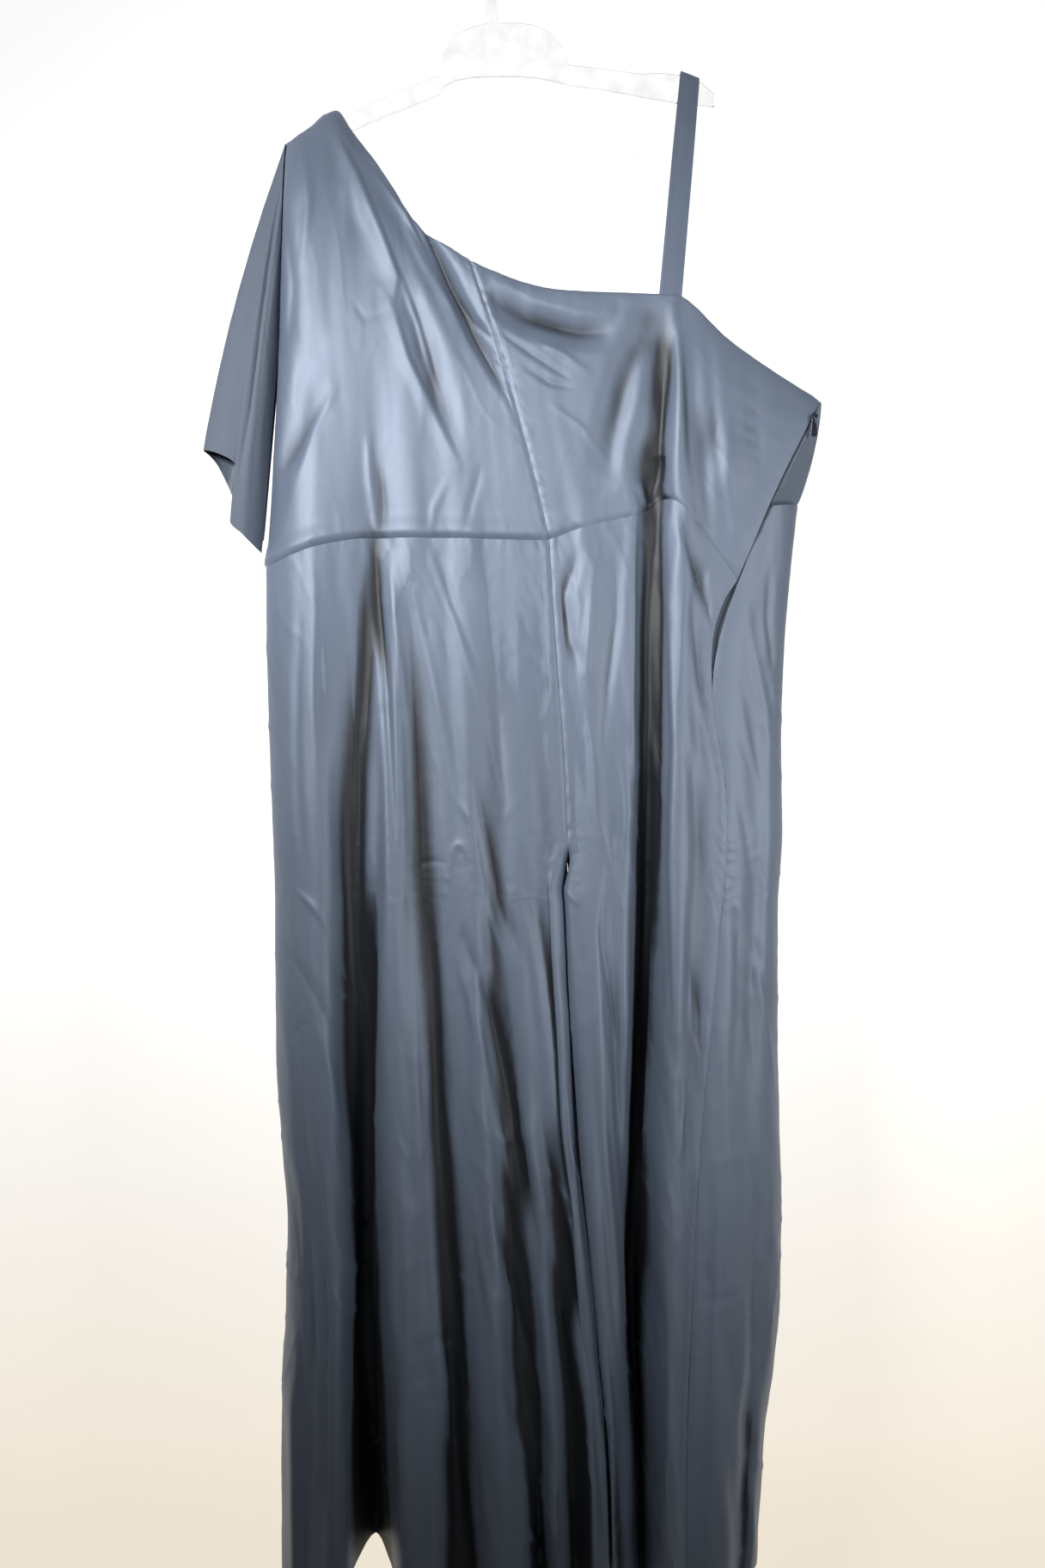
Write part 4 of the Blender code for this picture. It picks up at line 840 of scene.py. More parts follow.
def sleeve_sheet(sheets):
    """Rows run from the armhole to the hem, columns from front underarm over the shoulder to the back."""
    front = sheets["front_bodice_right"][UNDERARM_ROW::-1, 1] - np.array([WALL / 2 + 3 * SEAM, 0, 0])
    back = sheets["back_bodice"][1 : UNDERARM_ROW + 1, -1] - np.array([WALL / 2 + 5 * SEAM, 0, 0])
    armhole = halved(np.concatenate([front, back]))
    along = np.linspace(0, 1, len(armhole))
    knots = np.array([hem.along for hem in SLEEVE_HEM])
    hem = {name: smooth(knots, column(SLEEVE_HEM, name), along) for name in ("x", "height", "depth", "bow")}
    fraction = np.linspace(0, 1, SLEEVE_ROWS)[:, None]
    middle = 4 * fraction * (1 - fraction)
    lobe = np.sin(2 * pi * along) * SLEEVE_BELLY
    x = armhole[:, 0] * (1 - fraction) + hem["x"] * fraction + hem["bow"] * middle
    y = armhole[:, 1] * (1 - fraction) - hem["depth"] * fraction - lobe * middle
    z = armhole[:, 2] * (1 - fraction) + hem["height"] * fraction
    return np.stack([x, y, z], axis=2)


def depth_on(sheet, x, z):
    """The sheet's y at a place seen from the front, from its nearest points."""
    away = (sheet[..., 0] - x) ** 2 + (sheet[..., 2] - z) ** 2
    near = np.argsort(away, axis=None)[:4]
    weight = 1 / (away.ravel()[near] + 1e-9)
    return float((sheet[..., 1].ravel()[near] * weight).sum() / weight.sum())


def strap_sheet(sheets):
    """A loop of doubled satin from the front neckline over the hanger's arm to the back neckline."""
    behind = WALL + 4 * SEAM
    over = ARM_HALF + SEAM + WALL / 2
    arc_z = STRAP_TOP[1] - over
    path = []
    for x, z, sheet, way in (
        (*STRAP_FRONT, sheets["front_bodice_left"], 1),
        (*STRAP_BACK, sheets["back_bodice"], -1),
    ):
        edge = depth_on(sheet, x, z - 2 * MM) + way * behind
        low = depth_on(sheet, x, z - STRAP_TAIL) + way * behind
        climb = [(x, low, z - STRAP_TAIL), (x, edge, z)]
        for t in (0.25, 0.5, 0.75, 1.0):
            goal = (STRAP_TOP[0], -way * over, arc_z)
            climb.append(tuple(a + (b - a) * t for a, b in zip((x, edge, z), goal)))
        path.append(climb)
    top = [(STRAP_TOP[0], -over * cos(a), arc_z + over * sin(a)) for a in np.linspace(0, pi, 7)[1:-1]]
    path = np.array(path[0] + top + path[1][::-1])
    height = (path[:, 2] - STRAP_FRONT[1]) / (STRAP_TOP[1] - STRAP_FRONT[1])
    lean = STRAP_LEAN + (STRAP_TOP_LEAN - STRAP_LEAN) * ease(*STRAP_TURN, height)
    across = np.stack([np.cos(lean), np.zeros_like(lean), -np.sin(lean)], axis=1)
    places = np.linspace(-0.5, 0.5, 4)[None, :, None]
    return path[:, None, :] + across[:, None, :] * places * STRAP_WIDTH


def tape_sheet(sheets):
    """The zip's tape lies behind both edges of the opening."""
    front = np.concatenate([sheets["front_bodice_left"][:, -2:], sheets["front_leg_left"][:, -2:]])
    flap = np.concatenate([sheets["back_bodice"][:, :2], sheets["back_leg_left"][:, :2]])
    rows = []
    for z in np.linspace(ZIP_TOP, ZIP_END, ZIP_ROWS):
        edges = (front[:, 0], front[:, 1], flap[:, 0], flap[:, 1])
        rows.append([[np.interp(-z, -e[:, 2], e[:, axis]) for axis in (0, 1)] + [z] for e in edges])
    sheet = np.array(rows)
    return sheet - normals_of(sheet) * TAPE_DEPTH


def noise_at(u, v, seed):
    """Smooth seeded noise between about -1 and 1 over two directions."""
    turns = np.random.default_rng(seed).uniform(0, 2 * pi, (NOISE_CELLS, NOISE_CELLS))
    left, low = np.floor(u).astype(int), np.floor(v).astype(int)
    across, up = u - left, v - low
    soft_across, soft_up = (t**3 * (t * (6 * t - 15) + 10) for t in (across, up))
    corners = []
    for i in (0, 1):
        for j in (0, 1):
            turn = turns[(left + i) % NOISE_CELLS, (low + j) % NOISE_CELLS]
            corners.append(np.cos(turn) * (across - i) + np.sin(turn) * (up - j))
    lower = corners[0] * (1 - soft_across) + corners[2] * soft_across
    upper = corners[1] * (1 - soft_across) + corners[3] * soft_across
    return 1.5 * (lower * (1 - soft_up) + upper * soft_up)


def streaks(x, z, wide, long, slant, seed):
    """Noise drawn out along a line that leans slant away from the vertical."""
    along = -x * sin(slant) + z * cos(slant)
    across = x * cos(slant) + z * sin(slant)
    bent = across + 0.35 * wide * noise_at(along / (long * 0.8), across / (wide * 6), seed + 50)
    return noise_at(bent / wide, along / long, seed)


def pinched(values, sharpness):
    """Noise turned into thin ridges where it crosses zero."""
    return np.clip(1 - np.abs(values) * sharpness, 0, 1) ** 2


def crease_rise(crease, x, z):
    """How far one crease lifts the cloth. Its left and right widths are as seen from the front."""
    path = np.array(crease.path, float) * MM
    away = np.full(x.shape, np.inf)
    side = np.zeros(x.shape)
    along = np.zeros(x.shape)
    done = 0.0
    for start, end in zip(path[:-1], path[1:]):
        length = hypot(*(end - start))
        run_x, run_z = (end - start) / length
        t = np.clip((x - start[0]) * run_x + (z - start[1]) * run_z, 0, length)
        off_x, off_z = x - start[0] - t * run_x, z - start[1] - t * run_z
        distance = np.hypot(off_x, off_z)
        nearer = distance < away
        away = np.where(nearer, distance, away)
        side = np.where(nearer, off_z * run_x - off_x * run_z, side)
        along = np.where(nearer, done + t, along)
        done += length
    width = np.where(side > 0, crease.right, crease.left) * MM
    inside = np.clip(1 - away / width, 0, 1)
    taper = np.sin(pi * np.clip(along / done, 0.02, 0.98)) ** 0.6
    return crease.height * MM * taper * inside**2 * (1 + 2 * crease.soft * (1 - inside))


def creases_over(creases, x, z):
    total = np.zeros(x.shape)
    for crease in creases:
        path = np.array(crease.path) * MM
        reach = max(crease.left, crease.right) * MM
        near = (x > path[:, 0].min() - reach) & (x < path[:, 0].max() + reach)
        near &= (z > path[:, 1].min() - reach) & (z < path[:, 1].max() + reach)
        total[near] += crease_rise(crease, x[near], z[near])
    return total


def wrinkles(x, z, seed):
    """Small wrinkles of pressed and handled satin, stronger towards the hem."""
    low = ease(*WRINKLED, z)
    rise = np.zeros(x.shape)
    for number, layer in enumerate(LONG_WRINKLES):
        lines = streaks(x, z, layer.wide * MM, layer.long * MM, radians(layer.lean), seed + number)
        rise += (layer.height + layer.lower * low) * lines
    for number, layer in enumerate(PINCHED_WRINKLES):
        own = seed + 2 + 2 * number
        patch = noise_at(x / (layer.patch_wide * MM), z / (layer.patch_long * MM), own)
        patch = np.clip(layer.filled + patch, 0, 1)
        lines = streaks(x, z, layer.wide * MM, layer.long * MM, radians(layer.lean), own + 1)
        rise += (layer.height + layer.lower * low) * patch * pinched(lines, layer.sharpness)
    rise += CRUMPLE * noise_at(x / CRUMPLE_WIDE, z / CRUMPLE_LONG, seed + 8)
    return rise * MM


def finer(sheet, down, across):
    """The sheet with more rows and columns on smooth curves through its points."""
    for axis, steps in ((0, down), (1, across)):
        points = np.moveaxis(sheet, axis, 0)
        before = np.concatenate([2 * points[:1] - points[1:2], points[:-2]])
        after = np.concatenate([points[2:], 2 * points[-1:] - points[-2:-1]])
        start, end = points[:-1], points[1:]
        t = (np.arange(steps) / steps)[:, None, None, None]
        leave, arrive = (end - before) / 2, (after - start) / 2
        curve = (
            start * (1 + 2 * t) * (1 - t) ** 2
            + leave * t * (1 - t) ** 2
            + end * t * t * (3 - 2 * t)
            + arrive * t * t * (t - 1)
        )
        curve = np.moveaxis(curve, 0, 1).reshape(-1, *points.shape[1:])
        sheet = np.moveaxis(np.concatenate([curve, points[-1:]]), 0, axis)
    return sheet


def run_lengths(sheet, axis):
    """Distance along the cloth from the sheet's first row or column."""
    steps = np.linalg.norm(np.diff(sheet, axis=axis), axis=2)
    zero = np.zeros_like(steps.take([0], axis=axis))
    return np.cumsum(np.concatenate([zero, steps], axis=axis), axis=axis)


def edge_distances(sheet):
    """Distance of each point from the left, right, top and bottom edge of its sheet."""
    across, down = run_lengths(sheet, 1), run_lengths(sheet, 0)
    return across, across[:, -1:] - across, down, down[-1:] - down


def hollows(sheet, normals):
    """How deep each point lies in a fold, as a share of HOLLOW_DEPTH, and below 0 on a ridge."""
    weights = np.hanning(2 * HOLLOW_REACH + 3)[1:-1]
    deepest = np.full(sheet.shape[:2], -1.0)
    for axis in (0, 1):
        points = np.moveaxis(sheet, axis, 0)
        ends = ((HOLLOW_REACH, HOLLOW_REACH), (0, 0), (0, 0))
        padded = np.pad(points, ends, mode="reflect", reflect_type="odd")
        even = sum(weight * padded[i : i + len(points)] for i, weight in enumerate(weights / weights.sum()))
        inwards = ((np.moveaxis(even, 0, axis) - sheet) * normals).sum(axis=-1)
        deepest = np.maximum(deepest, inwards / HOLLOW_DEPTH)
    return deepest


def shell(name, sheet, normals, wall, materials):
    """A thin closed cloth shell about a sheet, with a UV map in metres along the cloth.

    The attribute fold_hollow says how deep each side of the cloth lies in a fold.
    """
    rows, columns = sheet.shape[:2]
    count = rows * columns
    outer, inner = sheet + normals * wall / 2, sheet - normals * wall / 2
    index = np.arange(count).reshape(rows, columns)
    quads = np.stack([index[:-1, :-1], index[1:, :-1], index[1:, 1:], index[:-1, 1:]], axis=2).reshape(-1, 4)
    border = np.concatenate([index[0, :-1], index[:-1, -1], index[-1, :0:-1], index[:0:-1, 0]])
    after = np.roll(border, -1)
    rim = np.stack([border, after, after + count, border + count], axis=1)
    faces = np.concatenate([quads, quads[:, ::-1] + count, rim])
    mesh = bpy.data.meshes.new(name)
    mesh.vertices.add(2 * count)
    mesh.vertices.foreach_set("co", np.concatenate([outer, inner]).astype(np.float32).ravel())
    mesh.loops.add(faces.size)
    mesh.loops.foreach_set("vertex_index", faces.astype(np.int32).ravel())
    mesh.polygons.add(len(faces))
    mesh.polygons.foreach_set("loop_start", np.arange(0, faces.size, 4, dtype=np.int32))
    inside = np.zeros(len(faces), np.int32)
    inside[len(quads) : 2 * len(quads)] = len(materials) - 1
    mesh.polygons.foreach_set("material_index", inside)
    mesh.update(calc_edges=True)
    flat = np.stack([run_lengths(sheet, 1), -run_lengths(sheet, 0)], axis=2).reshape(-1, 2)
    places = mesh.uv_layers.new(name="UVMap")
    places.data.foreach_set("uv", np.tile(flat, (2, 1))[faces.ravel()].astype(np.float32).ravel())
    deep = hollows(sheet, normals).ravel()
    hollow = mesh.attributes.new("fold_hollow", "FLOAT", "POINT")
    hollow.data.foreach_set("value", np.clip(np.concatenate([deep, -deep / 2]), 0, 1).astype(np.float32))
    for made in materials:
        mesh.materials.append(made)
    mesh.shade_smooth()
    mesh.set_sharp_from_angle(angle=SHARP_ANGLE)
    mesh.validate()
    piece = bpy.data.objects.new(name, mesh)
    bpy.context.scene.collection.objects.link(piece)
    return piece


def seam_roll(distance):
    """The cloth turns in by about a millimetre where it goes into a seam."""
    return -SEAM_DIP * np.exp(-((distance / SEAM_DIP_REACH) ** 2))


def puckers(distance, run, strength, seed):
    """Short uneven gathers that run away from a seam."""
    reach = (9 + 5 * noise_at(run / (14 * MM), run * 0, seed + 9)) * MM
    rise = noise_at(run / (6.5 * MM), distance / (16 * MM), seed) + 0.5 * noise_at(
        run / (3.6 * MM), distance / (9 * MM), seed + 1
    )
    return strength * MM * rise * np.exp(-((distance / reach) ** 2))


def dressed(name, sheet, normals, settings, seed):
    """How far each point of a panel moves out for its creases, wrinkles and seam puckers."""
    x, z = sheet[..., 0], sheet[..., 2]
    upper = "bodice" in name
    ahead = BODICE_LINES if upper else LEG_LINES
    behind = BACK_BODICE_LINES if upper else BACK_LEG_LINES
    to_front = np.clip(-2.5 * normals[..., 1], 0, 1)
    to_back = np.clip(2.5 * normals[..., 1], 0, 1)
    rise = creases_over(ahead, x, z) * to_front + creases_over(behind, x, z) * to_back
    rise = rise * settings.crease_strength
    rise = rise + wrinkles(x, z, seed) * settings.wrinkle_strength * (0.6 if upper else 1.0)
    distances = dict(zip(("left", "right", "top", "bottom"), edge_distances(sheet)))
    nearest = np.minimum(distances["left"], distances["right"])
    rise = rise * (SEAM_HOLD + (1 - SEAM_HOLD) * ease(0, SEAM_FREE, nearest))
    if name.startswith("front_bodice"):
        above = distances["bottom"]
        start, full, end = BLOUSED
        bulge = ease(0, start, above) * ease(end, full, above)
        rise = rise + BLOUSING * bulge * ease(*BLOUSED_SIDES, x)
    across, down = run_lengths(sheet, 1), run_lengths(sheet, 0)
    for number, seam in enumerate(PANEL_SEAMS[name]):
        away = distances[seam.edge]
        run = down if seam.edge in ("left", "right") else across
        rise = rise + seam.roll * seam_roll(away) + puckers(away, run, seam.pucker, seed + 20 + number)
    return rise


def fine_sheets(settings):
    """Every sewn panel as a fine sheet and its wall directions, worked out once for the same settings."""
    wanted = (settings.crease_strength, settings.wrinkle_strength)
    if wanted in SEWN:
        return SEWN[wanted]
    sheets = garment_sheets()
    join_seams(sheets)
    open_zip_below_waist(sheets)
    made = {}
    for seed, (name, coarse) in enumerate(sheets.items()):
        across = 5 if name.startswith("front") or name == "back_leg_left" else 4
        sheet = finer(coarse, 8 if "bodice" in name else 10, across)
        normals = normals_of(sheet)
        sheet = sheet + normals * dressed(name, sheet, normals, settings, 100 + 30 * seed)[..., None]
        made[name] = (sheet, normals_of(sheet))
    SEWN[wanted] = sheets, made
    return SEWN[wanted]


def sleeve_fine(sheets, settings):
    sheet = finer(sleeve_sheet(sheets), 8, 4)
    normals = normals_of(sheet)
    x, z = sheet[..., 0], sheet[..., 2]
    outer = np.where(normals[..., 1] < 0, 1.0, -0.6)
    rise = creases_over(SLEEVE_LINES, x, z) * outer * settings.crease_strength
    rise = rise + 0.5 * wrinkles(x + sheet[..., 1], z, 700) * settings.wrinkle_strength
    left, right, top, bottom = edge_distances(sheet)
    run = run_lengths(sheet, 1)
    inside = ease(0, SEAM_FREE, np.minimum(np.minimum(left, right), top))
    rise = rise * inside + puckers(bottom, run, 0.4, 720) + hem_step(bottom, SLEEVE_HEM_DEPTH)
    sheet = sheet + normals * rise[..., None]
    return sheet, normals_of(sheet)


def hem_step(distance, depth):
    """A turned hem is a little thicker than the single cloth above its stitch line."""
    return HEM_STEP * (1 - ease(depth - 1.5 * MM, depth + 1.5 * MM, distance))


def strap_fine(sheets):
    """The strap's satin is doubled: full at its edges, a little hollow along the middle."""
    sheet = finer(strap_sheet(sheets), 12, 6)
    normals = normals_of(sheet)
    across, down = run_lengths(sheet, 1), run_lengths(sheet, 0)
    edge = np.minimum(across, across[:, -1:] - across)
    rise = 0.12 * MM * np.cos(2 * pi * across / STRAP_WIDTH)
    rise = rise + 0.10 * MM * noise_at(down / (9 * MM), across / (14 * MM), 801) * ease(0, 3 * MM, edge)
    return sheet + normals * rise[..., None], normals


def tape_fine(sheets):
    sheet = finer(tape_sheet(sheets), 8, 6)
    return sheet, normals_of(sheet)


def show(piece, slot, *nodes):
    """The piece rides on the garment and stands for its solids."""
    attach(piece, "garment")
    if nodes:
        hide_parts(*nodes)


def only_selected(obj):
    for other in bpy.context.selected_objects:
        other.select_set(False)
    obj.select_set(True)
    bpy.context.view_layer.objects.active = obj


def copies_along(name, model, places, material):
    """One mesh of many copies of a modelled piece. Each place is an origin and three directions."""
    points = np.array([v.co for v in model.data.vertices])
    faces = [tuple(p.vertices) for p in model.data.polygons]
    vertices, polygons = [], []
    for origin, along, across, out in places:
        start = len(vertices) * len(points)
        vertices.append(origin + points @ np.array([along, across, out]))
        polygons += [tuple(start + i for i in face) for face in faces]
    mesh = bpy.data.meshes.new(name)
    mesh.from_pydata(np.concatenate(vertices).tolist(), [], polygons)
    mesh.shade_smooth()
    mesh.materials.append(material)
    piece = bpy.data.objects.new(name, mesh)
    bpy.context.scene.collection.objects.link(piece)
    bpy.data.objects.remove(model, do_unlink=True)
    return piece


def thread_model(length, radius):
    """One stitch: a short plump length of thread, pressed flat into the cloth."""
    bpy.ops.mesh.primitive_uv_sphere_add(segments=6, ring_count=4, radius=1, rotation=(0, pi / 2, 0))
    stitch = bpy.context.object
    only_selected(stitch)
    bpy.ops.object.transform_apply(location=True, rotation=True, scale=True)
    stitch.scale = (length / 2, radius, radius * 0.7)
    bpy.ops.object.transform_apply(location=False, rotation=False, scale=True)
    return stitch


def places_along(line, normals, pitch, lift):
    """Places every pitch along a line of points, lifted off the cloth."""
    runs = np.concatenate([[0], np.cumsum(np.linalg.norm(np.diff(line, axis=0), axis=1))])
    stops = np.arange(pitch, runs[-1] - pitch / 2, pitch)
    places = []
    for stop in stops:
        centre = np.array([np.interp(stop, runs, line[:, k]) for k in range(3)])
        ahead = np.array([np.interp(stop + pitch / 4, runs, line[:, k]) for k in range(3)])
        out = unit(np.array([np.interp(stop, runs, normals[:, k]) for k in range(3)]))
        along = unit(ahead - centre)
        out = unit(out - along * (out @ along))
        places.append((centre + out * lift, along, np.cross(out, along), out))
    return places


def fill(tree, socket, value):
    """Links the socket to another one, or sets it to a number, colour or vector."""
    if isinstance(value, bpy.types.NodeSocket):
        tree.links.new(value, socket)
    else:
        socket.default_value = value


def node(tree, kind, *given, **values):
    """A new node. Given values fill its sockets in order, named ones its settings and sockets."""
    made = tree.nodes.new(kind)
    for name, value in values.items():
        if hasattr(made, name):
            setattr(made, name, value)
        else:
            fill(tree, made.inputs[name.replace("_", " ")], value)
    for socket, value in zip(made.inputs, given):
        fill(tree, socket, value)
    return made


def maths(tree, operation, *given):
    """The result of a Math node on numbers and sockets."""
    return node(tree, "ShaderNodeMath", *given, operation=operation).outputs["Value"]


def scaled(tree, vector, factor):
    """A colour or vector times a number."""
    return node(tree, "ShaderNodeVectorMath", vector, operation="SCALE", Scale=factor).outputs["Vector"]


def noise(tree, vector, **values):
    return node(tree, "ShaderNodeTexNoise", Vector=vector, **values).outputs["Fac"]


def stretched(tree, vector, **values):
    return node(tree, "ShaderNodeMapping", Vector=vector, **values).outputs["Vector"]


def ranged(tree, value, source, target=(0, 1), **values):
    """A value moved from one range to another."""
    made = node(tree, "ShaderNodeMapRange", Value=value, **values)
    for side, ends in (("From", source), ("To", target)):
        for end, limit in zip(("Min", "Max"), ends):
            made.inputs[side + " " + end].default_value = limit
    return made.outputs["Result"]


def new_group(name, colour, **amounts):
    """A new node group that takes a colour and the named amounts, and its input sockets."""
    group = bpy.data.node_groups.new(name, "ShaderNodeTree")
    entry = group.interface.new_socket(name="Colour", in_out="INPUT", socket_type="NodeSocketColor")
    entry.default_value = colour
    for label, value in amounts.items():
        entry = group.interface.new_socket(name=label, in_out="INPUT", socket_type="NodeSocketFloat")
        entry.default_value = value
    for label, kind in (("Colour", "Color"), ("Roughness", "Float"), ("Height", "Float")):
        group.interface.new_socket(name=label, in_out="OUTPUT", socket_type="NodeSocket" + kind)
    return group, group.nodes.new("NodeGroupInput").outputs


def close_group(group, given, shade, uneven, height):
    """Tints the given colour by shade, adds the uneven part to the roughness, and gives all three out."""
    put = group.nodes.new("NodeGroupOutput").inputs
    fill(group, put["Colour"], scaled(group, given["Colour"], shade))
    fill(group, put["Roughness"], maths(group, "ADD", uneven, given["Roughness"]))
    fill(group, put["Height"], height)
    return group


def thread_group():
    """Woven cloth: fine threads, slubs drawn out along the warp, and slow changes of tone."""
    group = bpy.data.node_groups.get("Woven threads")
    if group:
        return group
    group, given = new_group("Woven threads", (0.1, 0.1, 0.1, 1), Roughness=0.4, Threads=1500.0, Slub=0.1)
    flat = node(group, "ShaderNodeUVMap", uv_map="UVMap").outputs["UV"]
    place = node(group, "ShaderNodeTexCoord").outputs["Object"]
    weave = node(
        group, "ShaderNodeTexWave", scaled(group, flat, given["Threads"]),
        bands_direction="DIAGONAL", Scale=0.32, Distortion=0.6,
    )
    slub = noise(group, stretched(group, flat, Scale=(1100, 38, 1)), Scale=1.0, Detail=3.0, Roughness=0.6)
    weft = noise(group, stretched(group, flat, Scale=(26, 900, 1)), Scale=1.0, Detail=2.0, Roughness=0.5)
    threads = maths(group, "MULTIPLY_ADD", weft, 0.5, slub)
    tone = noise(group, place, Scale=3.2, Detail=3.0, Roughness=0.55)
    shade = ranged(group, maths(group, "MULTIPLY_ADD", threads, 0.55, tone), (0.55, 1.25), (0.86, 1.14))
    uneven = maths(group, "MULTIPLY", threads, given["Slub"])
    height = maths(group, "MULTIPLY_ADD", weave.outputs["Fac"], 0.35, threads)
    return close_group(group, given, shade, uneven, height)


def wear_group():
    """Handled surfaces: fine scratches and a breath of haze in object space."""
    group = bpy.data.node_groups.get("Handled surface")
    if group:
        return group
    group, given = new_group("Handled surface", (0.5, 0.5, 0.5, 1), Roughness=0.2, Haze=0.1, Scale=60.0)
    place = node(group, "ShaderNodeTexCoord").outputs["Object"]
    cloud = noise(group, place, Scale=given["Scale"], Detail=4.0, Roughness=0.6)
    drawn = stretched(group, place, Scale=(90, 900, 400), Rotation=(0.2, 0.5, 0.3))
    scratch = noise(group, drawn, Scale=1.0, Detail=2.0, Roughness=0.5)
    shade = ranged(group, cloud, (0.3, 0.7), (0.9, 1.08))
    return close_group(group, given, shade, maths(group, "MULTIPLY", cloud, given["Haze"]), scratch)


def finish_material(name, group, values, sockets, bump):
    """A Principled material whose colour, roughness and bump come from a shared group."""
    made = bpy.data.materials.get(name)
    if made:
        return made
    made = bpy.data.materials.new(name)
    made.use_nodes = True
    tree = made.node_tree
    shader = tree.nodes["Principled BSDF"]
    for socket, value in sockets.items():
        shader.inputs[socket].default_value = value
    surface = tree.nodes.new("ShaderNodeGroup")
    surface.node_tree = group
    for socket, value in values.items():
        surface.inputs[socket].default_value = value
    tree.links.new(surface.outputs["Colour"], shader.inputs["Base Color"])
    tree.links.new(surface.outputs["Roughness"], shader.inputs["Roughness"])
    height = surface.outputs["Height"]
    raised = node(tree, "ShaderNodeBump", Strength=bump[0], Distance=bump[1], Height=height)
    tree.links.new(raised.outputs["Normal"], shader.inputs["Normal"])
    return made


def paint_shade_in_folds(made):
    """Little light gets into a fold, so painted shade darkens the cloth's colour with its attribute
    fold_hollow.
    """
    tree = made.node_tree
    hollow = node(tree, "ShaderNodeAttribute", attribute_name="fold_hollow").outputs["Fac"]
    # Painted shade: the colour falls to a small share of itself at the bottom of the deepest fold
    light = ranged(tree, hollow, (0, 1), (1, DEEPEST_PAINTED_FOLD_SHADE), interpolation_type="SMOOTHSTEP")
    shaded = scaled(tree, tree.nodes["Group"].outputs["Colour"], light)
    fill(tree, tree.nodes["Principled BSDF"].inputs["Base Color"], shaded)
    return made


def satin(settings):
    if "Slate blue satin" in bpy.data.materials:
        return bpy.data.materials["Slate blue satin"]
    made = finish_material(
        "Slate blue satin",
        thread_group(),
        {
            "Colour": (*settings.satin_colour, 1),
            "Roughness": settings.satin_roughness,
            "Threads": 2600.0,
            "Slub": 0.10,
        },
        {
            "Metallic": 0.18,
            "Specular IOR Level": 0.5,
            "Anisotropic": 0.3,
            "Sheen Weight": 0.1,
            "Sheen Roughness": 0.35,
        },
        (0.12, 0.0003),
    )
    return paint_shade_in_folds(made)


def satin_wrong_side(settings):
    """The wrong side of satin is duller and a little greyer."""
    dull = [0.7 * value + 0.01 for value in settings.satin_colour]
    return finish_material(
        "Satin wrong side",
        thread_group(),
        {"Colour": (*dull, 1), "Roughness": 0.62, "Threads": 2600.0, "Slub": 0.12},
        {"Sheen Weight": 0.1, "Sheen Roughness": 0.5},
        (0.2, 0.0003),
    )


def thread_material(settings):
    """Thread of the satin's colour, a little lighter."""
    lighter = [1.25 * value for value in settings.satin_colour]
    return finish_material(
        "Sewing thread",
        thread_group(),
        {"Colour": (*lighter, 1), "Roughness": 0.5, "Threads": 4000.0, "Slub": 0.1},
        {"Sheen Weight": 0.2, "Sheen Roughness": 0.5},
        (0.3, 0.0002),
    )


def tape_material(settings):
    return finish_material(
        "Woven zip tape",
        thread_group(),
        {"Colour": (*settings.tape_colour, 1), "Roughness": 0.7, "Threads": 1800.0, "Slub": 0.1},
        {"Sheen Weight": 0.2, "Sheen Roughness": 0.5},
        (0.5, 0.0004),
    )


def metal_material(name, colour, roughness):
    return finish_material(
        name,
        wear_group(),
        {"Colour": (*colour, 1), "Roughness": roughness, "Haze": 0.16, "Scale": 900.0},
        {"Metallic": 1.0},
        (0.06, 0.0001),
    )


def clear_plastic(settings):
    return finish_material(
        "Clear moulded plastic",
        wear_group(),
        {"Colour": (*settings.plastic_tint, 1), "Roughness": 0.03, "Haze": 0.10, "Scale": 45.0},
        {"Transmission Weight": 0.92, "IOR": 1.49, "Metallic": 0.0},
        (0.05, 0.0004),
    )


def make_panels(settings, kind):
    """Every leg or bodice panel, each a shell that stands for its solid."""
    _, made = fine_sheets(settings)
    materials = [satin(settings), satin_wrong_side(settings)]
    for name, (sheet, normals) in made.items():
        if kind in name:
            piece = shell("satin_" + name, sheet, normals, settings.cloth_wall, materials)
            show(piece, "satin", name)


def dress_solid(name, material):
    """Gives a solid that is already right its finish, on flat faces left flat."""
    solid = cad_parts[name]
    for slot in solid.material_slots:
        slot.material = material
    if not solid.material_slots:
        solid.data.materials.append(material)


def make_coil(sheet, normals, settings):
    """The closed coil: short nylon turns that lie across the middle of the tape."""
    bpy.ops.mesh.primitive_cube_add(size=1)
    tooth = bpy.context.object
    only_selected(tooth)
    bpy.ops.object.mode_set(mode="EDIT")
    bpy.ops.mesh.subdivide(number_cuts=1)
    bpy.ops.mesh.vertices_smooth(factor=0.6, repeat=2)
    bpy.ops.object.mode_set(mode="OBJECT")
    tooth.scale = (settings.tooth_pitch * 0.95, TOOTH_WIDTH, TOOTH_HEIGHT)
    bpy.ops.object.transform_apply(location=True, rotation=True, scale=True)
    middle = sheet.shape[1] // 2
    lift = TAPE_WALL / 2 + TOOTH_LIFT
    places = places_along(sheet[:, middle], normals[:, middle], settings.tooth_pitch, lift)
    coil = metal_material("Nylon coil", settings.tape_colour, 0.4)
    piece = copies_along("zip_coil", tooth, places, coil)
    show(piece, "zip_tape")


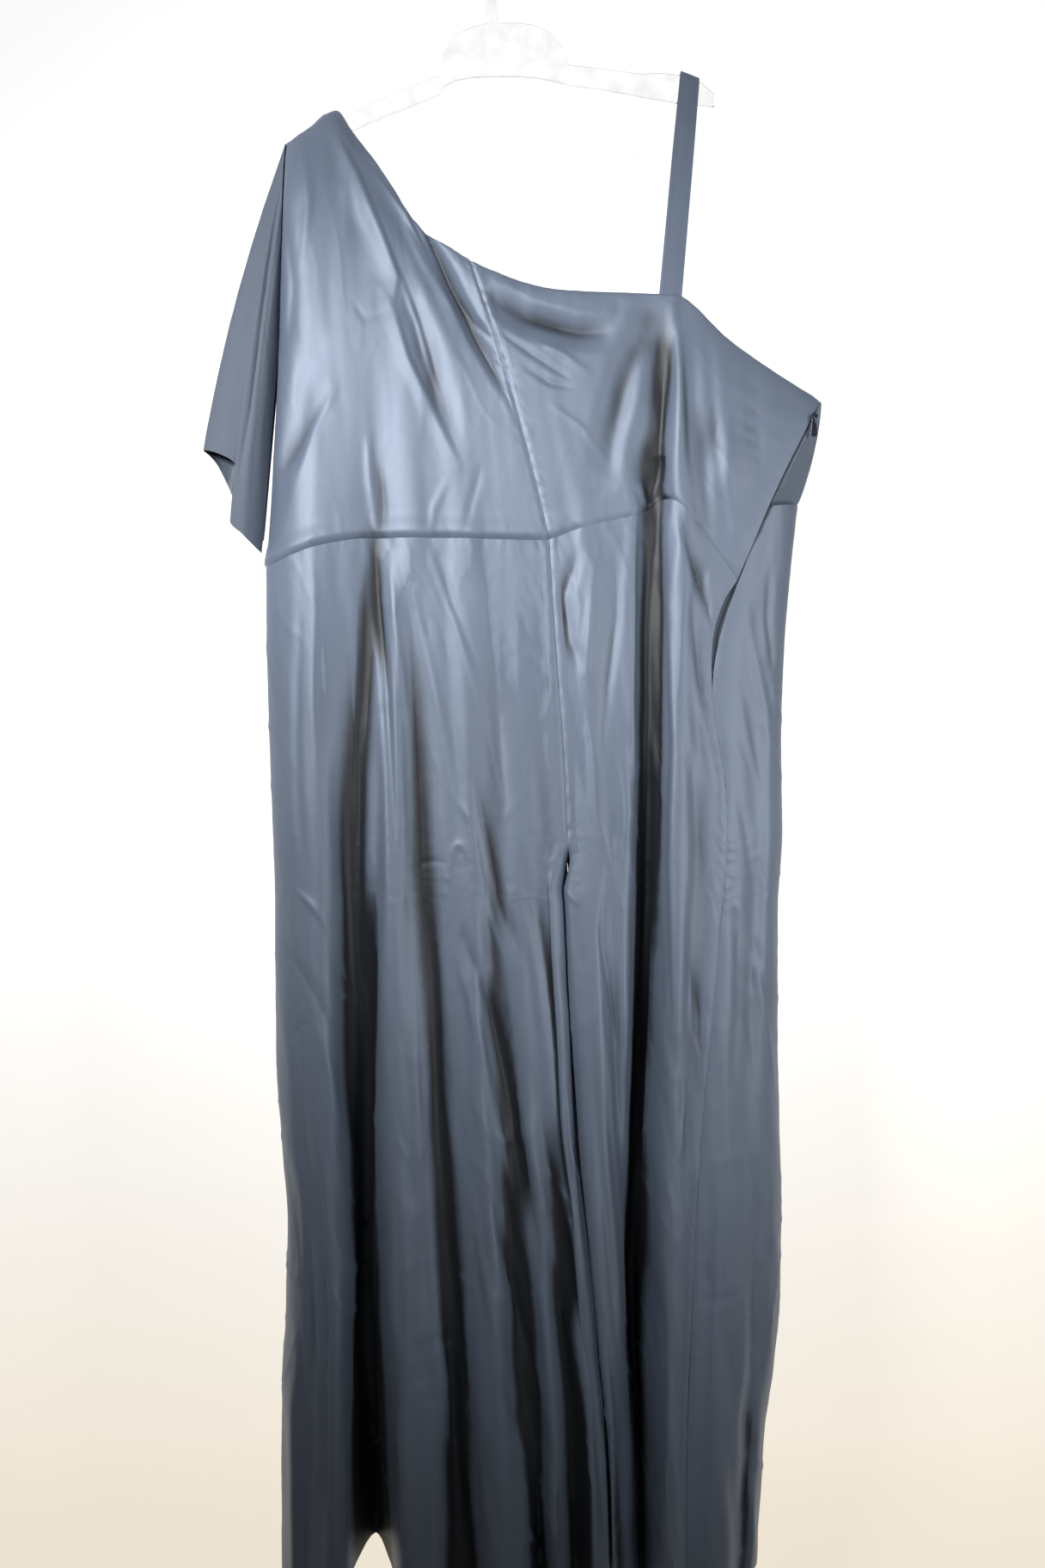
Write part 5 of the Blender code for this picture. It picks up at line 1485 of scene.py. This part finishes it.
def make_stitches(settings):
    """Rows of stitches along the seams that show, the strap's edges and the sleeve's hem."""
    sheets, made = fine_sheets(settings)
    strap, strap_normals = strap_fine(sheets)
    sleeve, sleeve_normals = sleeve_fine(sheets, settings)
    half = settings.cloth_wall / 2
    places = []
    for name, row in STITCH_ROWS:
        sheet, normals = made[name]
        line, out = row(sheet), row(normals)
        places += places_along(line, out, STITCH_PITCH, half)
    for place in STRAP_STITCHED:
        line, out = strap[:, place], strap_normals[:, place]
        places += places_along(line, out, STITCH_PITCH, STRAP_WALL / 2)
    rows = run_lengths(sleeve, 0)
    row = int(np.argmin(np.abs(rows[-1].mean() - rows.mean(axis=1) - SLEEVE_HEM_DEPTH)))
    places += places_along(sleeve[row], sleeve_normals[row], STITCH_PITCH, half)
    stitch = thread_model(STITCH_LENGTH, STITCH_RADIUS)
    piece = copies_along("seam_stitches", stitch, places, thread_material(settings))
    show(piece, "satin")


def seen_directly(tree, strength):
    """The strength where a surface is looked at, also through clear plastic, and 0 for the light it gives."""
    rays = node(tree, "ShaderNodeLightPath").outputs
    seen = maths(tree, "MAXIMUM", rays["Is Camera Ray"], rays["Is Transmission Ray"])
    return maths(tree, "MULTIPLY", seen, strength)


def light_wall(plaster, settings):
    """An evenly lit wall with painted shade that makes it warmer and a little darker near the floor, and that
    is clear from behind.
    """
    tree = plaster.node_tree
    shader = tree.nodes["Principled BSDF"].inputs
    behind = node(tree, "ShaderNodeNewGeometry").outputs["Backfacing"]
    fill(tree, shader["Alpha"], maths(tree, "SUBTRACT", 1.0, behind))
    place = node(tree, "ShaderNodeTexCoord").outputs["Object"]
    parts = node(tree, "ShaderNodeSeparateXYZ", place).outputs
    # Painted shade: the wall's glow turns warmer and darker near the floor
    blend = node(
        tree, "ShaderNodeMix", data_type="RGBA", Factor=ranged(tree, parts["Z"], WALL_SHADE_HEIGHTS),
        A=(*settings.shaded_low_wall_colour, 1), B=(1, 1, 1, 1),
    )
    lit = ranged(tree, parts["Y"], WALL_EDGE, (WALL_DIMMEST, 1.0))
    either = maths(tree, "MAXIMUM", lit, seen_directly(tree, settings.floor_light))
    fill(tree, shader["Emission Color"], scaled(tree, blend.outputs[2], either))
    shader["Emission Strength"].default_value = settings.wall_light


def set_backdrop(settings):
    """A pale sweep: a floor that curves up into a wall behind the hanging garment, clear from behind."""
    bpy.ops.mesh.primitive_plane_add(size=1)
    sweep = bpy.context.object
    only_selected(sweep)
    sweep.name = "pale_sweep"
    sweep.scale = SWEEP_SIZE
    sweep.location = SWEEP_PLACE
    bpy.ops.object.transform_apply(location=True, rotation=True, scale=True)
    bpy.ops.object.mode_set(mode="EDIT")
    bpy.ops.mesh.select_mode(type="EDGE")
    bpy.ops.mesh.select_all(action="DESELECT")
    bpy.ops.object.mode_set(mode="OBJECT")
    for edge in sweep.data.edges:
        edge.select = all(sweep.data.vertices[i].co.y > 0 for i in edge.vertices)
    bpy.ops.object.mode_set(mode="EDIT")
    bpy.ops.mesh.extrude_region_move(TRANSFORM_OT_translate={"value": (0, 0, SWEEP_HEIGHT)})
    bpy.ops.object.mode_set(mode="OBJECT")
    rounding = sweep.modifiers.new("Sweep", "BEVEL")
    rounding.width, rounding.segments = SWEEP_ROUND, SWEEP_STEPS
    rounding.limit_method = "ANGLE"
    bpy.ops.object.modifier_apply(modifier=rounding.name)
    sweep.data.shade_smooth()
    plaster = finish_material(
        "Pale matt backdrop",
        wear_group(),
        {"Colour": (*settings.wall_colour, 1), "Roughness": 0.85, "Haze": 0.05, "Scale": 2.5},
        {"Specular IOR Level": 0.2},
        (0.02, 0.001),
    )
    light_wall(plaster, settings)
    sweep.data.materials.append(plaster)


def area_light(name, lamp, power):
    data = bpy.data.lights.new(name, "AREA")
    data.shape = "RECTANGLE"
    data.size, data.size_y = lamp.size
    data.energy = power
    data.color = lamp.colour
    data.spread = lamp.spread
    made = bpy.data.objects.new(name, data)
    made.location = lamp.place
    aim = Vector(lamp.target) - Vector(lamp.place)
    made.rotation_euler = aim.to_track_quat("-Z", "Y").to_euler()
    bpy.context.scene.collection.objects.link(made)


def set_lights(settings):
    """Soft light from above and left of the camera, which falls off down the garment, a strip further left,
    a weak fill from the right, and an evenly lit backdrop."""
    area_light("key", KEY, settings.key_power)
    area_light("left_strip", STRIP, settings.strip_power)
    area_light("fill", FILL, settings.fill_power)
    world = bpy.data.worlds.new("Room")
    world.use_nodes = True
    tree = world.node_tree
    sky = tree.nodes["Background"].inputs
    sky["Color"].default_value = SKY_COLOUR
    strength = maths(tree, "MAXIMUM", settings.room_light, seen_directly(tree, settings.wall_light))
    fill(tree, sky["Strength"], strength)
    bpy.context.scene.world = world
    bpy.context.scene.view_settings.view_transform = "Standard"


def set_camera():
    data = bpy.data.cameras.new("camera")
    data.sensor_width, data.lens = CAMERA_SENSOR, CAMERA_LENS
    data.clip_start, data.clip_end = CAMERA_CLIP
    camera = bpy.data.objects.new("camera", data)
    camera.location = CAMERA_PLACE
    camera.rotation_euler = (pi / 2, 0, 0)
    bpy.context.scene.collection.objects.link(camera)
    bpy.context.scene.camera = camera


class RomperClothSettings(bpy.types.PropertyGroup):
    cloth_wall: bpy.props.FloatProperty(
        name="Cloth wall", description="Thickness of the satin shell", default=0.0007,
        min=0.0002, max=0.0015, precision=5, unit="LENGTH",
    )
    crease_strength: bpy.props.FloatProperty(
        name="Creases", description="Depth of the creases placed by hand", default=1.0,
        min=0.0, max=2.0, subtype="FACTOR",
    )
    wrinkle_strength: bpy.props.FloatProperty(
        name="Wrinkles", description="Depth of the small wrinkles over the whole cloth", default=1.2,
        min=0.0, max=2.0, subtype="FACTOR",
    )
    satin_colour: bpy.props.FloatVectorProperty(
        name="Satin", description="Colour of the satin's right side", default=(0.14, 0.18, 0.25),
        size=3, min=0.0, max=1.0, subtype="COLOR",
    )
    satin_roughness: bpy.props.FloatProperty(
        name="Satin roughness", description="How widely the satin spreads a highlight", default=0.42,
        min=0.05, max=1.0, subtype="FACTOR",
    )


class RomperZipSettings(bpy.types.PropertyGroup):
    tape_colour: bpy.props.FloatVectorProperty(
        name="Tape", description="Colour of the zip's tape", default=(0.05, 0.065, 0.09),
        size=3, min=0.0, max=1.0, subtype="COLOR",
    )
    metal_colour: bpy.props.FloatVectorProperty(
        name="Slider and pull", description="Colour of the lacquered slider and pull tab",
        default=(0.09, 0.11, 0.15), size=3, min=0.0, max=1.0, subtype="COLOR",
    )
    tooth_pitch: bpy.props.FloatProperty(
        name="Tooth pitch", description="Distance from one turn of the coil to the next", default=0.0015,
        min=0.0008, max=0.004, precision=5, unit="LENGTH",
    )


class RomperHangerSettings(bpy.types.PropertyGroup):
    plastic_tint: bpy.props.FloatVectorProperty(
        name="Plastic", description="Tint of the clear plastic", default=(0.97, 0.98, 0.985),
        size=3, min=0.0, max=1.0, subtype="COLOR",
    )
    steel_colour: bpy.props.FloatVectorProperty(
        name="Hook", description="Colour of the plated wire hook", default=(0.62, 0.63, 0.65),
        size=3, min=0.0, max=1.0, subtype="COLOR",
    )


class RomperStageSettings(bpy.types.PropertyGroup):
    wall_colour: bpy.props.FloatVectorProperty(
        name="Backdrop", description="Colour of the pale floor and wall", default=(0.40, 0.39, 0.37),
        size=3, min=0.0, max=1.0, subtype="COLOR",
    )
    key_power: bpy.props.FloatProperty(
        name="Key light", description="Power of the soft light above and left of the camera, in watts",
        default=4.3, min=0.0, max=500.0,
    )
    strip_power: bpy.props.FloatProperty(
        name="Side light", description="Power of the strip at the left, in watts", default=0.3,
        min=0.0, max=500.0,
    )
    fill_power: bpy.props.FloatProperty(
        name="Right fill", description="Power of the weak light from the right, in watts", default=1.2,
        min=0.0, max=500.0,
    )
    wall_light: bpy.props.FloatProperty(
        name="Wall light", description="How bright the lit wall is, 1 for white", default=0.9,
        min=0.0, max=5.0,
    )
    floor_light: bpy.props.FloatProperty(
        name="Floor light", description="How bright the floor looks, 1 for white", default=0.78,
        min=0.0, max=5.0,
    )
    # The wall near the floor: painted shade, warmer and darker where the light falls off
    shaded_low_wall_colour: bpy.props.FloatVectorProperty(
        name="Low wall", description="Colour of the wall near the floor", default=(0.83, 0.75, 0.62),
        min=0.0, max=1.0, size=3, subtype="COLOR",
    )
    room_light: bpy.props.FloatProperty(
        name="Room", description="Strength of the even light all round", default=0.045, min=0.0, max=5.0,
    )


class ROMPER_OT_legs(bpy.types.Operator):
    """Makes the four leg panels in creased satin"""

    bl_idname = "romper.make_legs"
    bl_label = "Leg panels"

    def execute(self, context):
        make_panels(context.scene.romper_cloth, "leg")
        return {"FINISHED"}


class ROMPER_OT_bodice(bpy.types.Operator):
    """Makes the two front bodice panels and the back bodice in creased satin"""

    bl_idname = "romper.make_bodice"
    bl_label = "Bodice panels"

    def execute(self, context):
        make_panels(context.scene.romper_cloth, "bodice")
        return {"FINISHED"}


class ROMPER_OT_sleeve(bpy.types.Operator):
    """Makes the fluttering sleeve of the one shoulder"""

    bl_idname = "romper.make_sleeve"
    bl_label = "Flutter sleeve"

    def execute(self, context):
        settings = context.scene.romper_cloth
        sheets, _ = fine_sheets(settings)
        sheet, normals = sleeve_fine(sheets, settings)
        materials = [satin(settings), satin_wrong_side(settings)]
        piece = shell("satin_flutter_sleeve", sheet, normals, settings.cloth_wall, materials)
        show(piece, "satin", "flutter_sleeve")
        return {"FINISHED"}


class ROMPER_OT_strap(bpy.types.Operator):
    """Makes the strap that loops over the hanger's arm"""

    bl_idname = "romper.make_strap"
    bl_label = "Shoulder strap"

    def execute(self, context):
        settings = context.scene.romper_cloth
        sheets, _ = fine_sheets(settings)
        sheet, normals = strap_fine(sheets)
        piece = shell("satin_strap", sheet, normals, STRAP_WALL, [satin(settings), satin(settings)])
        show(piece, "satin", "shoulder_strap")
        return {"FINISHED"}


class ROMPER_OT_zip(bpy.types.Operator):
    """Makes the zip's tape and coil, and finishes its slider and pull"""

    bl_idname = "romper.make_zip"
    bl_label = "Side zip"

    def execute(self, context):
        settings = context.scene.romper_zip
        sheets, _ = fine_sheets(context.scene.romper_cloth)
        sheet, normals = tape_fine(sheets)
        woven = tape_material(settings)
        piece = shell("zip_woven_tape", sheet, normals, TAPE_WALL, [woven, woven])
        show(piece, "zip_tape", "zip_tape")
        make_coil(sheet, normals, settings)
        lacquer = metal_material("Lacquered metal", settings.metal_colour, 0.22)
        for name in ("zip_slider", "zip_pull"):
            dress_solid(name, lacquer)
        return {"FINISHED"}


class ROMPER_OT_stitches(bpy.types.Operator):
    """Sews the seams, the strap's edges and the sleeve's hem with thread"""

    bl_idname = "romper.make_stitches"
    bl_label = "Stitching"

    def execute(self, context):
        make_stitches(context.scene.romper_cloth)
        return {"FINISHED"}


class ROMPER_OT_hanger(bpy.types.Operator):
    """Finishes the hanger's clear arms and its wire hook"""

    bl_idname = "romper.finish_hanger"
    bl_label = "Hanger"

    def execute(self, context):
        settings = context.scene.romper_hanger
        dress_solid("hanger_arms", clear_plastic(settings))
        dress_solid("hanger_hook", metal_material("Plated wire", settings.steel_colour, 0.18))
        return {"FINISHED"}


class ROMPER_OT_stage(bpy.types.Operator):
    """Sets the pale floor and backdrop, the studio lights and the camera"""

    bl_idname = "romper.set_stage"
    bl_label = "Stage, lights and camera"

    def execute(self, context):
        settings = context.scene.romper_stage
        set_backdrop(settings)
        set_lights(settings)
        set_camera()
        return {"FINISHED"}


STEPS = (
    ROMPER_OT_stage, ROMPER_OT_legs, ROMPER_OT_bodice, ROMPER_OT_sleeve, ROMPER_OT_strap,
    ROMPER_OT_zip, ROMPER_OT_stitches, ROMPER_OT_hanger,
)


class ROMPER_PT_panel(bpy.types.Panel):
    """Sizes, colours and steps of the romper"""

    bl_label = "Romper"
    bl_idname = "ROMPER_PT_panel"
    bl_space_type = "VIEW_3D"
    bl_region_type = "UI"
    bl_category = "Romper"

    def draw(self, context):
        layout = self.layout
        for holder in HOLDERS:
            settings = getattr(context.scene, holder)
            box = layout.box()
            for name in settings.__annotations__:
                box.prop(settings, name)
        for step in STEPS:
            layout.operator(step.bl_idname)


HOLDERS = {
    "romper_cloth": RomperClothSettings,
    "romper_zip": RomperZipSettings,
    "romper_hanger": RomperHangerSettings,
    "romper_stage": RomperStageSettings,
}
CLASSES = (*HOLDERS.values(), *STEPS, ROMPER_PT_panel)


def register():
    for made in CLASSES:
        bpy.utils.register_class(made)
    for name, kind in HOLDERS.items():
        setattr(bpy.types.Scene, name, bpy.props.PointerProperty(type=kind))


def unregister():
    for name in HOLDERS:
        delattr(bpy.types.Scene, name)
    for made in reversed(CLASSES):
        bpy.utils.unregister_class(made)


def main():
    register()
    bpy.ops.romper.set_stage()
    bpy.ops.romper.make_legs()
    bpy.ops.romper.make_bodice()
    bpy.ops.romper.make_sleeve()
    bpy.ops.romper.make_strap()
    bpy.ops.romper.make_zip()
    bpy.ops.romper.make_stitches()
    bpy.ops.romper.finish_hanger()


if __name__ == "__main__":
    main()
